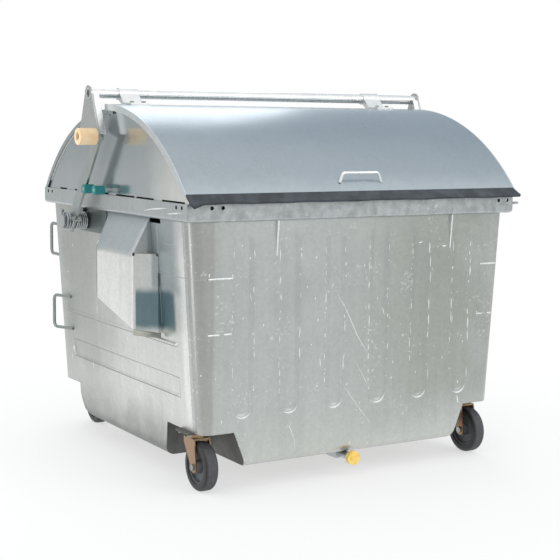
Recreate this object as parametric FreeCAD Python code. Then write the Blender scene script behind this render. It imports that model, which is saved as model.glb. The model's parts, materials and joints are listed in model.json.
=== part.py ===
import FreeCAD, Part
import math
import os

Vec = FreeCAD.Vector
os.makedirs("parts", exist_ok=True)

# Rim frame round the top of the tub
RIM_WIDTH = 1290.0
RIM_DEPTH = 1190.0
RIM_TOP = 928.0
RIM_SKIRT = 58.0
RIM_FLANGE = 42.0
RIM_SHEET = 3.0
RIM_BEND = 12.0
RIM_HOLE_RADIUS = 6.5
RIM_HOLE_DROP = 13.0
RIM_HOLE_PITCH = 38.5
RIM_HOLES_LEFT_INSET = 86.0
RIM_HOLES_RIGHT_INSET = 63.5
RIM_HOLES_SIDE = 36.0

# Tub of pressed sheet
SIDE_OVERHANG = 21.0
FRONT_OVERHANG = 15.0
SIDE_TAPER = 52.0
FRONT_TAPER = 10.0
TUB_FLOOR = 75.0
TUB_CORNER = 35.0
TUB_SHEET = 2.5
PANEL_WRAP = 60.0
RIB_COUNT = 6
RIB_MARGIN = 137.0
RIB_HALF_WIDTH = 38.0
RIB_DEPTH = 4.5
RIB_DRAFT = 16.0
RIB_FOOT_RISE = 161.0
RIB_HEAD_DROP = 32.0
BAND_FOOT_RISE = 222.0
BAND_HEIGHT = 67.0
BAND_FRONT_INSET = 136.0
BAND_REAR_INSET = 100.0
BAND_DEPTH = 6.0
BAND_DRAFT = 7.0
CREASE_RISE = 103.0
CREASE_HALF = 9.0
CREASE_OUT = 4.0
CREASE_REAR_INSET = 70.0
GUSSET_LEFT_INSET = 330.0
GUSSET_RIGHT_INSET = 262.0
GUSSET_DROP = 116.0
GUSSET_SHEET = 5.0
VENT_REAR_INSET = 303.0
VENT_LENGTH = 80.0
VENT_HEIGHT = 17.0

# Swivel casters
FRONT_CASTER_INSET_X = 30.0
FRONT_CASTER_INSET_Y = 104.0
REAR_CASTER_INSET_X = 126.0
REAR_CASTER_INSET_Y = 40.0
WHEEL_RADIUS = 80.0
WHEEL_WIDTH = 46.0
WHEEL_TRAIL = 32.0
WHEEL_CLEARANCE = 6.0
TYRE_DEPTH = 23.0
TYRE_SHOULDER = 12.0
HUB_WIDTH = 50.0
HUB_RADIUS = 22.0
HUB_WEB = 12.0
AXLE_RADIUS = 7.0
AXLE_HEAD_RADIUS = 11.0
AXLE_HEAD = 7.0
FORK_SHEET = 5.0
FORK_GAP = 0.6
FORK_BOSS_RADIUS = 19.0
FORK_CROWN_HALF = 34.0
BEARING_RADIUS = 31.0
BEARING_HEIGHT = 16.4
BEARING_GAP = 0.6
CASTER_PLATE = 7.0
CASTER_PLATE_WIDTH = 112.0
CASTER_PLATE_DEPTH = 88.0
CASTER_BOLT_INSET = 13.0
KINGPIN_RADIUS = 9.0
KINGPIN_NUT_RADIUS = 14.0
KINGPIN_NUT = 5.0

# Caster housings pressed into the lower corners
FRONT_HOUSING_ROOM_X = 11.0
FRONT_HOUSING_ROOM_Y = 52.0
FRONT_HOUSING_DRAFT_X = 47.0
FRONT_HOUSING_DRAFT_Y = 24.0
REAR_HOUSING_ROOM_X = 30.0
REAR_HOUSING_ROOM_Y = 202.0
REAR_HOUSING_DRAFT_X = 24.0
REAR_HOUSING_DRAFT_Y = 188.0
SKIRT_END_INSET = 150.0
SKIRT_HEAD_DROP = 37.0
SKIRT_RUN = 200.0
SKIRT_MID_RUN = 34.0
SKIRT_MID_RISE = 29.0

# Drain under the floor, closed by a screw cap
DRAIN_X = -16.0
DRAIN_PIPE_RADIUS = 13.0
DRAIN_BORE_RADIUS = 9.5
DRAIN_BLOCK_WIDTH = 52.0
DRAIN_BLOCK_DEPTH = 60.0
DRAIN_SETBACK = 12.0
DRAIN_PIPE_REACH = 18.0
DRAIN_CLEARANCE = 0.3
PLUG_RADIUS = 23.5
PLUG_LENGTH = 16.0
PLUG_FACE = 6.0
PLUG_GRIP_WIDTH = 8.0
PLUG_GRIP_RISE = 4.0

# Fixed dome: end plates and rear hood
HOOD_CROWN_RISE = 290.0
HOOD_REAR_INSET = 6.0
HOOD_SIDE_INSET = 1.0
HOOD_SHEET = 2.5
HOOD_LIP = 15.0
HOOD_REACH = 40.0
END_PLATE_INSET = 7.0
END_PLATE_SHEET = 3.0
PLATE_SLOT_HEIGHT = 5.0
PLATE_SLOT_SHARES = ((-0.95, -0.68), (-0.58, -0.36), (-0.33, -0.08), (0.02, 0.37), (0.49, 0.53),
                     (0.66, 0.77))
DOME_SEAT = 0.2

# Curved front lid that swings back on two arms
LID_CROWN_STEP = 18.0
LID_FRONT_OVERHANG = 5.0
LID_FRONT_RISE = 24.0
LID_REAR = 12.0
LID_SHEET = 2.5
LID_SIDE_GAP = 6.0
LID_EDGE = 22.0
LID_PLATE_CLEARANCE = 6.0
LIP_DROP = 26.0
LIP_OUT = 22.0
LIP_SHEET = 6.0
LIP_FLARE = 14.0
HANDLE_BAR_RADIUS = 5.0
HANDLE_WIDTH = 165.0
HANDLE_BAR_WIDTH = 140.0
HANDLE_FOOT_RISE = 33.0
HANDLE_X = 8.0
HANDLE_BAR_RISE = 17.0
HANDLE_STAND = 22.0
HANDLE_BEND = 14.0

# Arms, cross tube and hinge of the lid
PIVOT_Y = 231.0
PIVOT_DROP = 45.0
TUBE_Y = 56.0
TUBE_RISE = 36.0
TUBE_RADIUS = 17.0
TUBE_WALL = 3.0
ARM_REACH = 42.0
WEB_SHEET = 5.0
WEB_EYE_RADIUS = 27.0
WEB_FOOT_RUN = 75.0
WEB_FOOT_DROP = 127.0
WEB_TOE_RADIUS = 24.0
FLANGE_WIDTH = 24.0
FLANGE_FOOT_RISE = 8.0
ELBOW_RUN = 64.0
ELBOW_DROP = 146.0
BAR_SHEET = 9.0
BAR_HALF_WIDTH = 24.0
BAR_TAIL = 34.0
BAR_HEAD = 16.0
ROLLER_RADIUS = 28.5
ROLLER_LENGTH = 66.0
ROLLER_EDGE = 2.4
ROLLER_PIN_RADIUS = 8.0
ROLLER_RECESS_RADIUS = 14.0
ROLLER_RECESS = 14.0
ROLLER_GAP = 0.6
RUNNING_CLEARANCE = 0.06
PIN_NUT_RADIUS = 13.0
PIN_NUT = 10.0
CLAMP_LEFT_INSET = 102.0
CLAMP_RIGHT_INSET = 180.0
CLAMP_WIDTH = 72.0
CLAMP_STRAP = 4.0
CLAMP_REACH = 58.0
CLAMP_PLATE = 5.0
CLAMP_BOLT_SPREAD = 44.0
CLAMP_BOLT_REACH = 34.0
BOLT_HEAD_RADIUS = 8.5
BOLT_HEAD = 6.0

# Hinge pins, springs and stops on the sides of the tub
PIVOT_RADIUS = 12.5
PIVOT_COLLAR_RADIUS = 24.0
PIVOT_COLLAR = 5.0
BRACKET_STAND = 3.0
BRACKET_FRONT_RUN = 169.0
BRACKET_REAR_RUN = 69.0
BRACKET_DROP = 84.0
SPRING_RADIUS = 28.5
SPRING_WIRE_RADIUS = 3.4
SPRING_GAP = 0.5
SPRING_PITCH_OUTER = 8.6
SPRING_TURNS_OUTER = 2
SPRING_SEAT = 1.8
SPRING_END_GAP = 0.45
SPRING_FIXED_LEG = 19.0
SPRING_MOVING_LEG = 27.0
LUG_THICKNESS = 8.0
LUG_HALF_WIDTH = 6.5
LUG_INSIDE = 2.5
STOP_PIN_RADIUS = 6.0
STOP_SLEEVE_RADIUS = 16.0
STOP_SLEEVE = 36.0
STOP_SHANK = 28.0
STOP_RISE = 17.0
STOP_PITCH = 92.0
STOP_CLEARANCE = 0.3

# Lifting boxes on the sides
POCKET_REACH = 39.0
POCKET_SHEET = 3.0
POCKET_REAR = 12.0
POCKET_FRONT = -284.0
POCKET_FLARE = 44.0
POCKET_LEAN = 32.0
POCKET_SHOULDER_DROP = 118.0
POCKET_REAR_HEIGHT = 174.0
POCKET_FRONT_HEIGHT = 258.0
POCKET_NOTCH_RADIUS = 8.0
POCKET_SLIT_WIDTH = 9.0
POCKET_SLIT_DROP = 60.0
POCKET_SLIT_HEIGHT = 66.0

# Grab handles at the rear corners
GRAB_RADIUS = 6.0
GRAB_OUT = 57.0
GRAB_BEND = 18.0
GRAB_HIGH_DROP = 84.0
GRAB_HIGH_HEIGHT = 116.0
GRAB_HIGH_INSET = 24.0
GRAB_LOW_RISE = 323.0
GRAB_LOW_HEIGHT = 122.0
GRAB_LOW_FRONT_INSET = 115.0
GRAB_LOW_REACH_INSET = 25.0
GRAB_LOW_STAND = 32.0

# Places worked out from the sizes above
WALL_TOP = RIM_TOP - RIM_SHEET
RIM_FOOT = RIM_TOP - RIM_SKIRT
RIM_HALF_X = RIM_WIDTH / 2
RIM_HALF_Y = RIM_DEPTH / 2
TOP_HALF_X = RIM_HALF_X - SIDE_OVERHANG
TOP_HALF_Y = RIM_HALF_Y - FRONT_OVERHANG
FOOT_HALF_X = TOP_HALF_X - SIDE_TAPER
FOOT_HALF_Y = TOP_HALF_Y - FRONT_TAPER
RIB_PITCH = (FOOT_HALF_X - RIB_MARGIN) * 2 / (RIB_COUNT - 1)
RIB_FOOT = TUB_FLOOR + RIB_FOOT_RISE
RIB_HEAD = RIM_FOOT - RIB_HEAD_DROP
BAND_FOOT = TUB_FLOOR + BAND_FOOT_RISE
BAND_TOP = BAND_FOOT + BAND_HEIGHT
BAND_FRONT = FOOT_HALF_Y - BAND_FRONT_INSET
BAND_REAR = FOOT_HALF_Y - BAND_REAR_INSET
CREASE_HEIGHT = BAND_TOP + CREASE_RISE
CREASE_REAR = FOOT_HALF_Y - CREASE_REAR_INSET
GUSSET_PLACES = (-RIM_HALF_X + GUSSET_LEFT_INSET, RIM_HALF_X - GUSSET_RIGHT_INSET)
VENT_REAR = -TOP_HALF_Y + VENT_REAR_INSET

FRONT_CASTER_X = FOOT_HALF_X - FRONT_CASTER_INSET_X
FRONT_CASTER_Y = FOOT_HALF_Y - FRONT_CASTER_INSET_Y
REAR_CASTER_X = FOOT_HALF_X - REAR_CASTER_INSET_X
REAR_CASTER_Y = FOOT_HALF_Y - REAR_CASTER_INSET_Y
RIM_SEAT_RADIUS = WHEEL_RADIUS - TYRE_DEPTH
FORK_CROWN_HEIGHT = WHEEL_RADIUS * 2 + WHEEL_CLEARANCE + FORK_SHEET
HOUSING_TOP = FORK_CROWN_HEIGHT + BEARING_HEIGHT + BEARING_GAP + CASTER_PLATE
SWIVEL_REACH = math.hypot(WHEEL_TRAIL + WHEEL_RADIUS, WHEEL_WIDTH / 2)
FRONT_HOUSING_FOOT_X = FRONT_CASTER_X - SWIVEL_REACH - FRONT_HOUSING_ROOM_X
FRONT_HOUSING_FOOT_Y = FRONT_CASTER_Y - SWIVEL_REACH - FRONT_HOUSING_ROOM_Y
FRONT_HOUSING_X = FRONT_HOUSING_FOOT_X + FRONT_HOUSING_DRAFT_X
FRONT_HOUSING_Y = FRONT_HOUSING_FOOT_Y + FRONT_HOUSING_DRAFT_Y
REAR_HOUSING_FOOT_X = REAR_CASTER_X - SWIVEL_REACH - REAR_HOUSING_ROOM_X
REAR_HOUSING_FOOT_Y = REAR_CASTER_Y - SWIVEL_REACH - REAR_HOUSING_ROOM_Y
REAR_HOUSING_X = REAR_HOUSING_FOOT_X + REAR_HOUSING_DRAFT_X
REAR_HOUSING_Y = REAR_HOUSING_FOOT_Y + REAR_HOUSING_DRAFT_Y
SKIRT_END = FOOT_HALF_Y - SKIRT_END_INSET
SKIRT_HEAD = HOUSING_TOP - SKIRT_HEAD_DROP
SKIRT_MID_HEIGHT = TUB_FLOOR + SKIRT_MID_RISE
DRAIN_HEIGHT = TUB_FLOOR - DRAIN_PIPE_RADIUS

HOOD_RISE = RIM_TOP + HOOD_CROWN_RISE
HOOD_REAR = RIM_HALF_Y - HOOD_REAR_INSET
HOOD_HALF_WIDTH = RIM_HALF_X - HOOD_SIDE_INSET
HOOD_FRONT = -HOOD_REACH
END_PLATE_FACE = HOOD_HALF_WIDTH - END_PLATE_INSET
LID_RISE = HOOD_RISE + LID_CROWN_STEP
LID_FRONT = -RIM_HALF_Y - LID_FRONT_OVERHANG
LID_FRONT_HEIGHT = RIM_TOP + LID_FRONT_RISE
LID_HALF_WIDTH = HOOD_HALF_WIDTH + LID_SIDE_GAP
HANDLE_FOOT_HEIGHT = LID_FRONT_HEIGHT + HANDLE_FOOT_RISE
HANDLE_BAR_HEIGHT = HANDLE_FOOT_HEIGHT + HANDLE_BAR_RISE

PIVOT_HEIGHT = RIM_FOOT - PIVOT_DROP
TUBE_HEIGHT = LID_RISE + TUBE_RISE
WEB_FACE = LID_HALF_WIDTH + ARM_REACH
WEB_FOOT_REAR = TUBE_Y + WEB_FOOT_RUN
WEB_FOOT_HEIGHT = TUBE_HEIGHT - WEB_FOOT_DROP
ELBOW_Y = TUBE_Y - ELBOW_RUN
ELBOW_HEIGHT = TUBE_HEIGHT - ELBOW_DROP
WEB_TOE_HEIGHT = ELBOW_HEIGHT - WEB_TOE_RADIUS
FLANGE_FOOT = ELBOW_HEIGHT + FLANGE_FOOT_RISE
CLAMP_PLACES = (-LID_HALF_WIDTH + CLAMP_LEFT_INSET, LID_HALF_WIDTH - CLAMP_RIGHT_INSET)
CLAMP_FOOT = -CLAMP_REACH
CLAMP_BOLT_Y = -CLAMP_BOLT_REACH
BRACKET_FACE = TOP_HALF_X + BRACKET_STAND
BRACKET_FRONT = PIVOT_Y - BRACKET_FRONT_RUN
BRACKET_REAR = PIVOT_Y + BRACKET_REAR_RUN

POCKET_FACE = RIM_HALF_X + POCKET_REACH
POCKET_SHOULDER = RIM_FOOT - POCKET_SHOULDER_DROP
POCKET_FOOT_REAR = POCKET_SHOULDER - POCKET_REAR_HEIGHT
POCKET_FOOT_FRONT = POCKET_SHOULDER - POCKET_FRONT_HEIGHT
GRAB_REACH = RIM_HALF_Y + GRAB_OUT
GRAB_HIGH_TOP = RIM_FOOT - GRAB_HIGH_DROP
GRAB_HIGH_FOOT = GRAB_HIGH_TOP - GRAB_HIGH_HEIGHT
GRAB_HIGH_X = TOP_HALF_X - GRAB_HIGH_INSET
GRAB_LOW_FOOT = TUB_FLOOR + GRAB_LOW_RISE
GRAB_LOW_TOP = GRAB_LOW_FOOT + GRAB_LOW_HEIGHT
GRAB_LOW_FRONT = FOOT_HALF_Y - GRAB_LOW_FRONT_INSET
GRAB_LOW_REACH = FOOT_HALF_Y - GRAB_LOW_REACH_INSET

# The origin is at the middle of the footprint
FRONT_REACH = LID_FRONT - LIP_OUT - LIP_SHEET * LIP_DROP / math.hypot(LIP_DROP, LIP_OUT)
FRAME_SHIFT = (FRONT_REACH + GRAB_REACH) / 2
SIDES = (("left", -1), ("right", 1))
UP = Vec(0, 0, 1)
ALONG_X = Vec(1, 0, 0)
ALONG_Y = Vec(0, 1, 0)
ORIGIN = Vec(0, 0, 0)
FAR = RIM_WIDTH


def export(name, *shapes):
    """Write one node in the shared frame."""
    group = shapes[0] if len(shapes) == 1 else Part.makeCompound(list(shapes))
    solids = [solid.copy() for solid in group.Solids]
    for solid in solids:
        solid.translate(Vec(0, -FRAME_SHIFT, 0))
    result = solids[0] if len(solids) == 1 else Part.makeCompound(solids)
    assert result.isValid(), name
    assert min(solid.Volume for solid in solids) > 0, name
    result.exportStep("parts/" + name + ".step")
    box = result.optimalBoundingBox()
    low = [round(v, 1) for v in (box.XMin, box.YMin, box.ZMin)]
    high = [round(v, 1) for v in (box.XMax, box.YMax, box.ZMax)]
    print(name, len(solids), low, high)


def block(x_ends, y_ends, z_ends):
    """A box between pairs of coordinates."""
    low = Vec(min(x_ends), min(y_ends), min(z_ends))
    high = Vec(max(x_ends), max(y_ends), max(z_ends))
    size = high - low
    return Part.makeBox(size.x, size.y, size.z, low)


def rod(start, end, radius):
    """A round bar between two points."""
    return Part.makeCylinder(radius, (end - start).Length, start, end - start)


def prism_x(outline, x_ends):
    """An outline of (y, z) points, drawn along X."""
    wire = Part.makePolygon([Vec(min(x_ends), y, z) for y, z in outline + outline[:1]])
    return Part.Face(wire).extrude(Vec(max(x_ends) - min(x_ends), 0, 0))


def prism_y(outline, y_ends):
    """An outline of (x, z) points, drawn along Y."""
    wire = Part.makePolygon([Vec(x, min(y_ends), z) for x, z in outline + outline[:1]])
    return Part.Face(wire).extrude(Vec(0, max(y_ends) - min(y_ends), 0))


def prism_z(outline, z_ends):
    """An outline of (x, y) points, drawn along Z."""
    wire = Part.makePolygon([Vec(x, y, min(z_ends)) for x, y in outline + outline[:1]])
    return Part.Face(wire).extrude(Vec(0, 0, max(z_ends) - min(z_ends)))


def mirrored(shape, normal):
    """The shape on the other side of the middle plane."""
    return shape.mirror(ORIGIN, normal)


def on_side(shape, side):
    """A piece drawn on the right, placed on the given side."""
    return shape if side > 0 else mirrored(shape, ALONG_X)


def arc_between(start, corner, end):
    """The arc that touches start-corner and corner-end at its two ends."""
    middle = (start + end) * 0.5
    half_chord = (end - start).Length / 2
    lean = math.acos(half_chord / (corner - start).Length)
    rise = corner - middle
    rise.normalize()
    return Part.Arc(start, middle + rise * (half_chord * math.tan(lean / 2)), end).toShape()


def bent_edges(points, bend):
    """Straight runs through the points, with round bends between them."""
    edges = []
    start = points[0]
    for before, corner, after in zip(points, points[1:], points[2:]):
        to_before = (before - corner).normalize()
        to_after = (after - corner).normalize()
        half_angle = to_before.getAngle(to_after) / 2
        setback = bend / math.tan(half_angle)
        arrive = corner + to_before * setback
        leave = corner + to_after * setback
        edges.append(Part.makeLine(start, arrive))
        edges.append(arc_between(arrive, corner, leave))
        start = leave
    edges.append(Part.makeLine(start, points[-1]))
    return edges


def tube_along(edges, radius):
    """A round bar swept along joined edges."""
    path = Part.Wire(edges)
    first = edges[0]
    start = first.valueAt(first.FirstParameter)
    heading = first.tangentAt(first.FirstParameter)
    ring = Part.Wire([Part.makeCircle(radius, start, heading)])
    return path.makePipeShell([ring], True, False)


def half_x(height):
    """Half width of the tub outside at a height."""
    share = (height - TUB_FLOOR) / (WALL_TOP - TUB_FLOOR)
    return FOOT_HALF_X + (TOP_HALF_X - FOOT_HALF_X) * share


def half_y(height):
    """Half depth of the tub outside at a height."""
    share = (height - TUB_FLOOR) / (WALL_TOP - TUB_FLOOR)
    return FOOT_HALF_Y + (TOP_HALF_Y - FOOT_HALF_Y) * share


def tub_body(inset):
    """The tapering tub as a full body with round edges, drawn in by the inset."""
    level = TUB_FLOOR + inset
    outlines = []
    for half in (half_x, half_y):
        foot = half(TUB_FLOOR) - inset
        head = half(WALL_TOP) - inset
        outlines.append([(-foot, level), (foot, level), (head, WALL_TOP), (-head, WALL_TOP)])
    body = prism_y(outlines[0], (-FAR, FAR)).common(prism_x(outlines[1], (-FAR, FAR)))
    rounded = [edge for edge in body.Edges if edge.BoundBox.ZMin < TUB_FLOOR + TUB_CORNER]
    return body.makeFillet(TUB_CORNER - inset, rounded)


def stadium(half_width, low, high, depth):
    """A slot outline in the XZ plane with round ends, at a depth along Y."""
    foot = low + half_width
    head = high - half_width
    left_foot = Vec(-half_width, depth, foot)
    right_foot = Vec(half_width, depth, foot)
    left_head = Vec(-half_width, depth, head)
    right_head = Vec(half_width, depth, head)
    foot_arc = Part.Arc(left_foot, Vec(0, depth, low), right_foot).toShape()
    head_arc = Part.Arc(right_head, Vec(0, depth, high), left_head).toShape()
    rise = Part.makeLine(right_foot, right_head)
    fall = Part.makeLine(left_head, left_foot)
    return Part.Wire([foot_arc, rise, head_arc, fall])


def pressing(half_width, low, high, depth, draft, outside):
    """A drafted slot that goes into a wall, with room outside the wall."""
    mouth = stadium(half_width, low, high, 0)
    floor = stadium(half_width - draft, low + draft, high - draft, depth)
    body = Part.makeLoft([mouth, floor], True, True)
    if outside > 0:
        body = body.fuse(Part.Face(mouth).extrude(Vec(0, -outside, 0))).removeSplitter()
    return body


def lean_with_front(shape):
    """Tilt a pressing with the front wall and set it on that wall."""
    lean = math.degrees(math.atan((TOP_HALF_Y - FOOT_HALF_Y) / (WALL_TOP - TUB_FLOOR)))
    shape.rotate(Vec(0, 0, TUB_FLOOR), ALONG_X, lean)
    shape.translate(Vec(0, -FOOT_HALF_Y, 0))
    return shape


def lean_with_side(shape):
    """Turn a pressing onto the right wall and tilt it with that wall."""
    lean = math.degrees(math.atan((TOP_HALF_X - FOOT_HALF_X) / (WALL_TOP - TUB_FLOOR)))
    shape.rotate(Vec(0, 0, TUB_FLOOR), ALONG_Y, lean)
    shape.translate(Vec(FOOT_HALF_X, 0, 0))
    return shape


def ribbed(panel):
    """Press the row of upright ribs into the front panel."""
    for index in range(RIB_COUNT):
        place = Vec((index - (RIB_COUNT - 1) / 2) * RIB_PITCH, 0, 0)
        swell = pressing(RIB_HALF_WIDTH + TUB_SHEET, RIB_FOOT - TUB_SHEET, RIB_HEAD + TUB_SHEET,
                         RIB_DEPTH + TUB_SHEET, RIB_DRAFT, 0)
        groove = pressing(RIB_HALF_WIDTH, RIB_FOOT, RIB_HEAD, RIB_DEPTH, RIB_DRAFT, RIB_DEPTH)
        for tool in (swell, groove):
            tool.translate(place)
            lean_with_front(tool)
        panel = panel.fuse(swell).cut(groove)
    return panel.removeSplitter()


def side_pressing(half_height, centre, front, rear, depth, draft, outside):
    """A lying slot on the right wall, going inward."""
    slot = pressing(half_height, -rear, front, depth, draft, outside)
    slot.rotate(ORIGIN, ALONG_Y, -90)
    slot.rotate(ORIGIN, UP, 90)
    slot.translate(Vec(0, 0, centre))
    return lean_with_side(slot)


def banded(panel):
    """Press the lying band and the crease into the right panel."""
    half = (BAND_TOP - BAND_FOOT) / 2
    centre = (BAND_TOP + BAND_FOOT) / 2
    swell = side_pressing(half + TUB_SHEET, centre, BAND_FRONT + TUB_SHEET, BAND_REAR + TUB_SHEET,
                          BAND_DEPTH + TUB_SHEET, BAND_DRAFT, 0)
    groove = side_pressing(half, centre, BAND_FRONT, BAND_REAR, BAND_DEPTH, BAND_DRAFT, BAND_DEPTH)
    ridge = side_pressing(CREASE_HALF, CREASE_HEIGHT, BAND_FRONT, CREASE_REAR, -CREASE_OUT,
                          CREASE_HALF / 2, 0)
    return panel.fuse(swell).cut(groove).fuse(ridge).removeSplitter()


def frustum(top_x, top_y, foot_x, foot_y, inset):
    """The room of a caster housing at the front right, open outward and down."""
    level = HOUSING_TOP + inset
    outlines = []
    for foot, top in ((foot_x - inset, top_x - inset), (foot_y - inset, top_y - inset)):
        outlines.append([(foot, 0), (foot, TUB_FLOOR), (top, level), (FAR, level), (FAR, 0)])
    across = prism_y(outlines[0], (-FAR, FAR))
    return across.common(prism_x([(-y, z) for y, z in outlines[1]], (-FAR, FAR)))


def four_ways(front, rear):
    """A front-right and a rear-right shape with their mirror images."""
    return [front, mirrored(front, ALONG_X), rear, mirrored(rear, ALONG_X)]


DRAIN_MIDDLE = -FOOT_HALF_Y + DRAIN_SETBACK + TUB_CORNER + DRAIN_BLOCK_DEPTH / 2
TUB_OUTSIDE = tub_body(0)
TUB_INSIDE = tub_body(TUB_SHEET)


def tub():
    """Four wall panels, the floor and the caster housings."""
    walls = TUB_OUTSIDE.cut(TUB_INSIDE)
    seam = FOOT_HALF_Y - PANEL_WRAP
    side_seam = FOOT_HALF_X - PANEL_WRAP
    front_zone = block((-FAR, FAR), (-FAR, -seam), (0, RIM_TOP))
    side_zone = block((side_seam, FAR), (-seam, seam), (0, RIM_TOP))
    front_panel = ribbed(walls.common(front_zone))
    rear_panel = mirrored(front_panel, ALONG_Y)
    side_panel = banded(walls.common(side_zone))
    floor = walls.common(block((-side_seam, side_seam), (-seam, seam), (0, RIM_TOP)))

    front_size = (FRONT_HOUSING_X, FRONT_HOUSING_Y, FRONT_HOUSING_FOOT_X, FRONT_HOUSING_FOOT_Y)
    rear_size = (REAR_HOUSING_X, REAR_HOUSING_Y, REAR_HOUSING_FOOT_X, REAR_HOUSING_FOOT_Y)
    front_room = frustum(*front_size, 0)
    rear_room = mirrored(frustum(*rear_size, 0), ALONG_Y)
    rooms = four_ways(front_room, rear_room)
    front_lining = frustum(*front_size, TUB_SHEET).cut(front_room).common(TUB_INSIDE)
    rear_lining = mirrored(frustum(*rear_size, TUB_SHEET), ALONG_Y).cut(rear_room).common(TUB_INSIDE)

    rear_notch = block((-FAR, FAR), (SKIRT_END, FAR), (0, HOUSING_TOP))
    rear_notch = rear_notch.cut(block((-REAR_HOUSING_X, REAR_HOUSING_X), (0, FAR), (0, HOUSING_TOP)))
    skirt_start = Vec(0, SKIRT_END - SKIRT_RUN, TUB_FLOOR)
    skirt_end = Vec(0, SKIRT_END, SKIRT_HEAD)
    skirt_mid = Vec(0, SKIRT_END - SKIRT_MID_RUN, SKIRT_MID_HEIGHT)
    curve = Part.Arc(skirt_start, skirt_mid, skirt_end).toShape()
    drop = [skirt_end, Vec(0, SKIRT_END, 0), Vec(0, SKIRT_END - SKIRT_RUN, 0), skirt_start]
    runs = [Part.makeLine(a, b) for a, b in zip(drop, drop[1:])]
    skirt_cut = Part.Face(Part.Wire([curve] + runs)).extrude(Vec(FAR, 0, 0))
    skirt_cut = skirt_cut.fuse(rear_notch)

    front_panel = front_panel.cut(rooms[0]).cut(rooms[1])
    rear_panel = rear_panel.cut(rear_notch).cut(skirt_cut).cut(mirrored(skirt_cut, ALONG_X))
    side_panel = side_panel.cut(rooms[0]).cut(skirt_cut)
    vent = block((FOOT_HALF_X, FAR), (VENT_REAR - VENT_LENGTH, VENT_REAR),
                 (RIM_FOOT - VENT_HEIGHT, RIM_FOOT))
    side_panel = side_panel.cut(vent)
    for room in rooms:
        floor = floor.cut(room)
    for lining in four_ways(front_lining, rear_lining):
        floor = floor.cut(lining)
    well_foot = Vec(DRAIN_X, DRAIN_MIDDLE, 0)
    well = rod(well_foot, well_foot + UP * TUB_FLOOR * 2, DRAIN_BORE_RADIUS)
    floor = floor.cut(well)
    front_panel = front_panel.cut(well)
    export("tub_front", front_panel)
    export("tub_rear", rear_panel)
    for side, sign in SIDES:
        export("tub_" + side, on_side(side_panel, sign))
    export("tub_floor", floor)
    export("front_housings", front_lining, mirrored(front_lining, ALONG_X))
    export("rear_housings", rear_lining, mirrored(rear_lining, ALONG_X))


def rim_block(inset):
    """The rim as a full body with rolled lower edges."""
    reach_x = RIM_HALF_X - inset
    reach_y = RIM_HALF_Y - inset
    body = block((-reach_x, reach_x), (-reach_y, reach_y), (RIM_FOOT + inset, RIM_TOP - inset))
    lower = [edge for edge in body.Edges if edge.BoundBox.ZMax < RIM_FOOT + inset + RIM_SHEET]
    return body.makeFillet(RIM_BEND - inset, lower)


def rim():
    """Four mitred rails of folded sheet, with bolt holes near the corners."""
    mouth_x = RIM_HALF_X - RIM_FLANGE
    mouth_y = RIM_HALF_Y - RIM_FLANGE
    mouth = block((-mouth_x, mouth_x), (-mouth_y, mouth_y), (0, FAR))
    frame = rim_block(0).cut(rim_block(RIM_SHEET)).cut(mouth).cut(TUB_OUTSIDE)
    hole_height = RIM_TOP - RIM_HOLE_DROP
    for start in (-RIM_HALF_X + RIM_HOLES_LEFT_INSET, RIM_HALF_X - RIM_HOLES_RIGHT_INSET):
        for step in (0, RIM_HOLE_PITCH):
            centre = Vec(start + step, -RIM_HALF_Y, hole_height)
            frame = frame.cut(rod(centre - ALONG_Y * RIM_FLANGE, centre + ALONG_Y * SIDE_OVERHANG / 2,
                                  RIM_HOLE_RADIUS))
    for end in (-1, 1):
        for step in (0, RIM_HOLE_PITCH):
            place = end * (RIM_HALF_Y - RIM_HOLES_SIDE - step)
            for sign in (-1, 1):
                outer = Vec(sign * (RIM_HALF_X + RIM_SHEET), place, hole_height)
                inner = Vec(sign * (RIM_HALF_X - RIM_SHEET * 2), place, hole_height)
                frame = frame.cut(rod(outer, inner, RIM_HOLE_RADIUS))
    cut = RIM_FLANGE * 2
    long_zone = [(-RIM_HALF_X - cut, -RIM_HALF_Y - cut), (RIM_HALF_X + cut, -RIM_HALF_Y - cut),
                 (RIM_HALF_X - cut, -RIM_HALF_Y + cut), (-RIM_HALF_X + cut, -RIM_HALF_Y + cut)]
    long_prism = prism_z(long_zone, (0, FAR))
    front_rail = frame.common(long_prism)
    rear_rail = frame.common(mirrored(long_prism, ALONG_Y))
    side_rails = frame.cut(long_prism).cut(mirrored(long_prism, ALONG_Y))
    export("rim_front", front_rail)
    export("rim_rear", rear_rail)
    for side, sign in SIDES:
        half = block((0, sign * FAR), (-FAR, FAR), (0, FAR))
        export("rim_" + side, side_rails.common(half))

    gussets = []
    for place in GUSSET_PLACES:
        front_face = -RIM_HALF_Y + RIM_SHEET * 2
        outline = [(front_face, RIM_FOOT), (0, RIM_FOOT), (0, RIM_FOOT - GUSSET_DROP),
                   (-half_y(RIM_FOOT - GUSSET_DROP), RIM_FOOT - GUSSET_DROP)]
        x_ends = (place - GUSSET_SHEET / 2, place + GUSSET_SHEET / 2)
        gussets.append(prism_x(outline, x_ends).cut(TUB_OUTSIDE))
    export("front_gussets", *gussets)


def arc_radius(half_span, rise):
    """Radius of the arc that rises from its ends by the given height."""
    return (rise + half_span ** 2 / rise) / 2


LID_RADIUS = arc_radius(LID_FRONT, LID_RISE - LID_FRONT_HEIGHT)
LID_ARC_HEIGHT = LID_RISE - LID_RADIUS
HOOD_RADIUS = arc_radius(HOOD_REAR, HOOD_CROWN_RISE)
HOOD_ARC_HEIGHT = HOOD_RISE - HOOD_RADIUS


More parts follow.
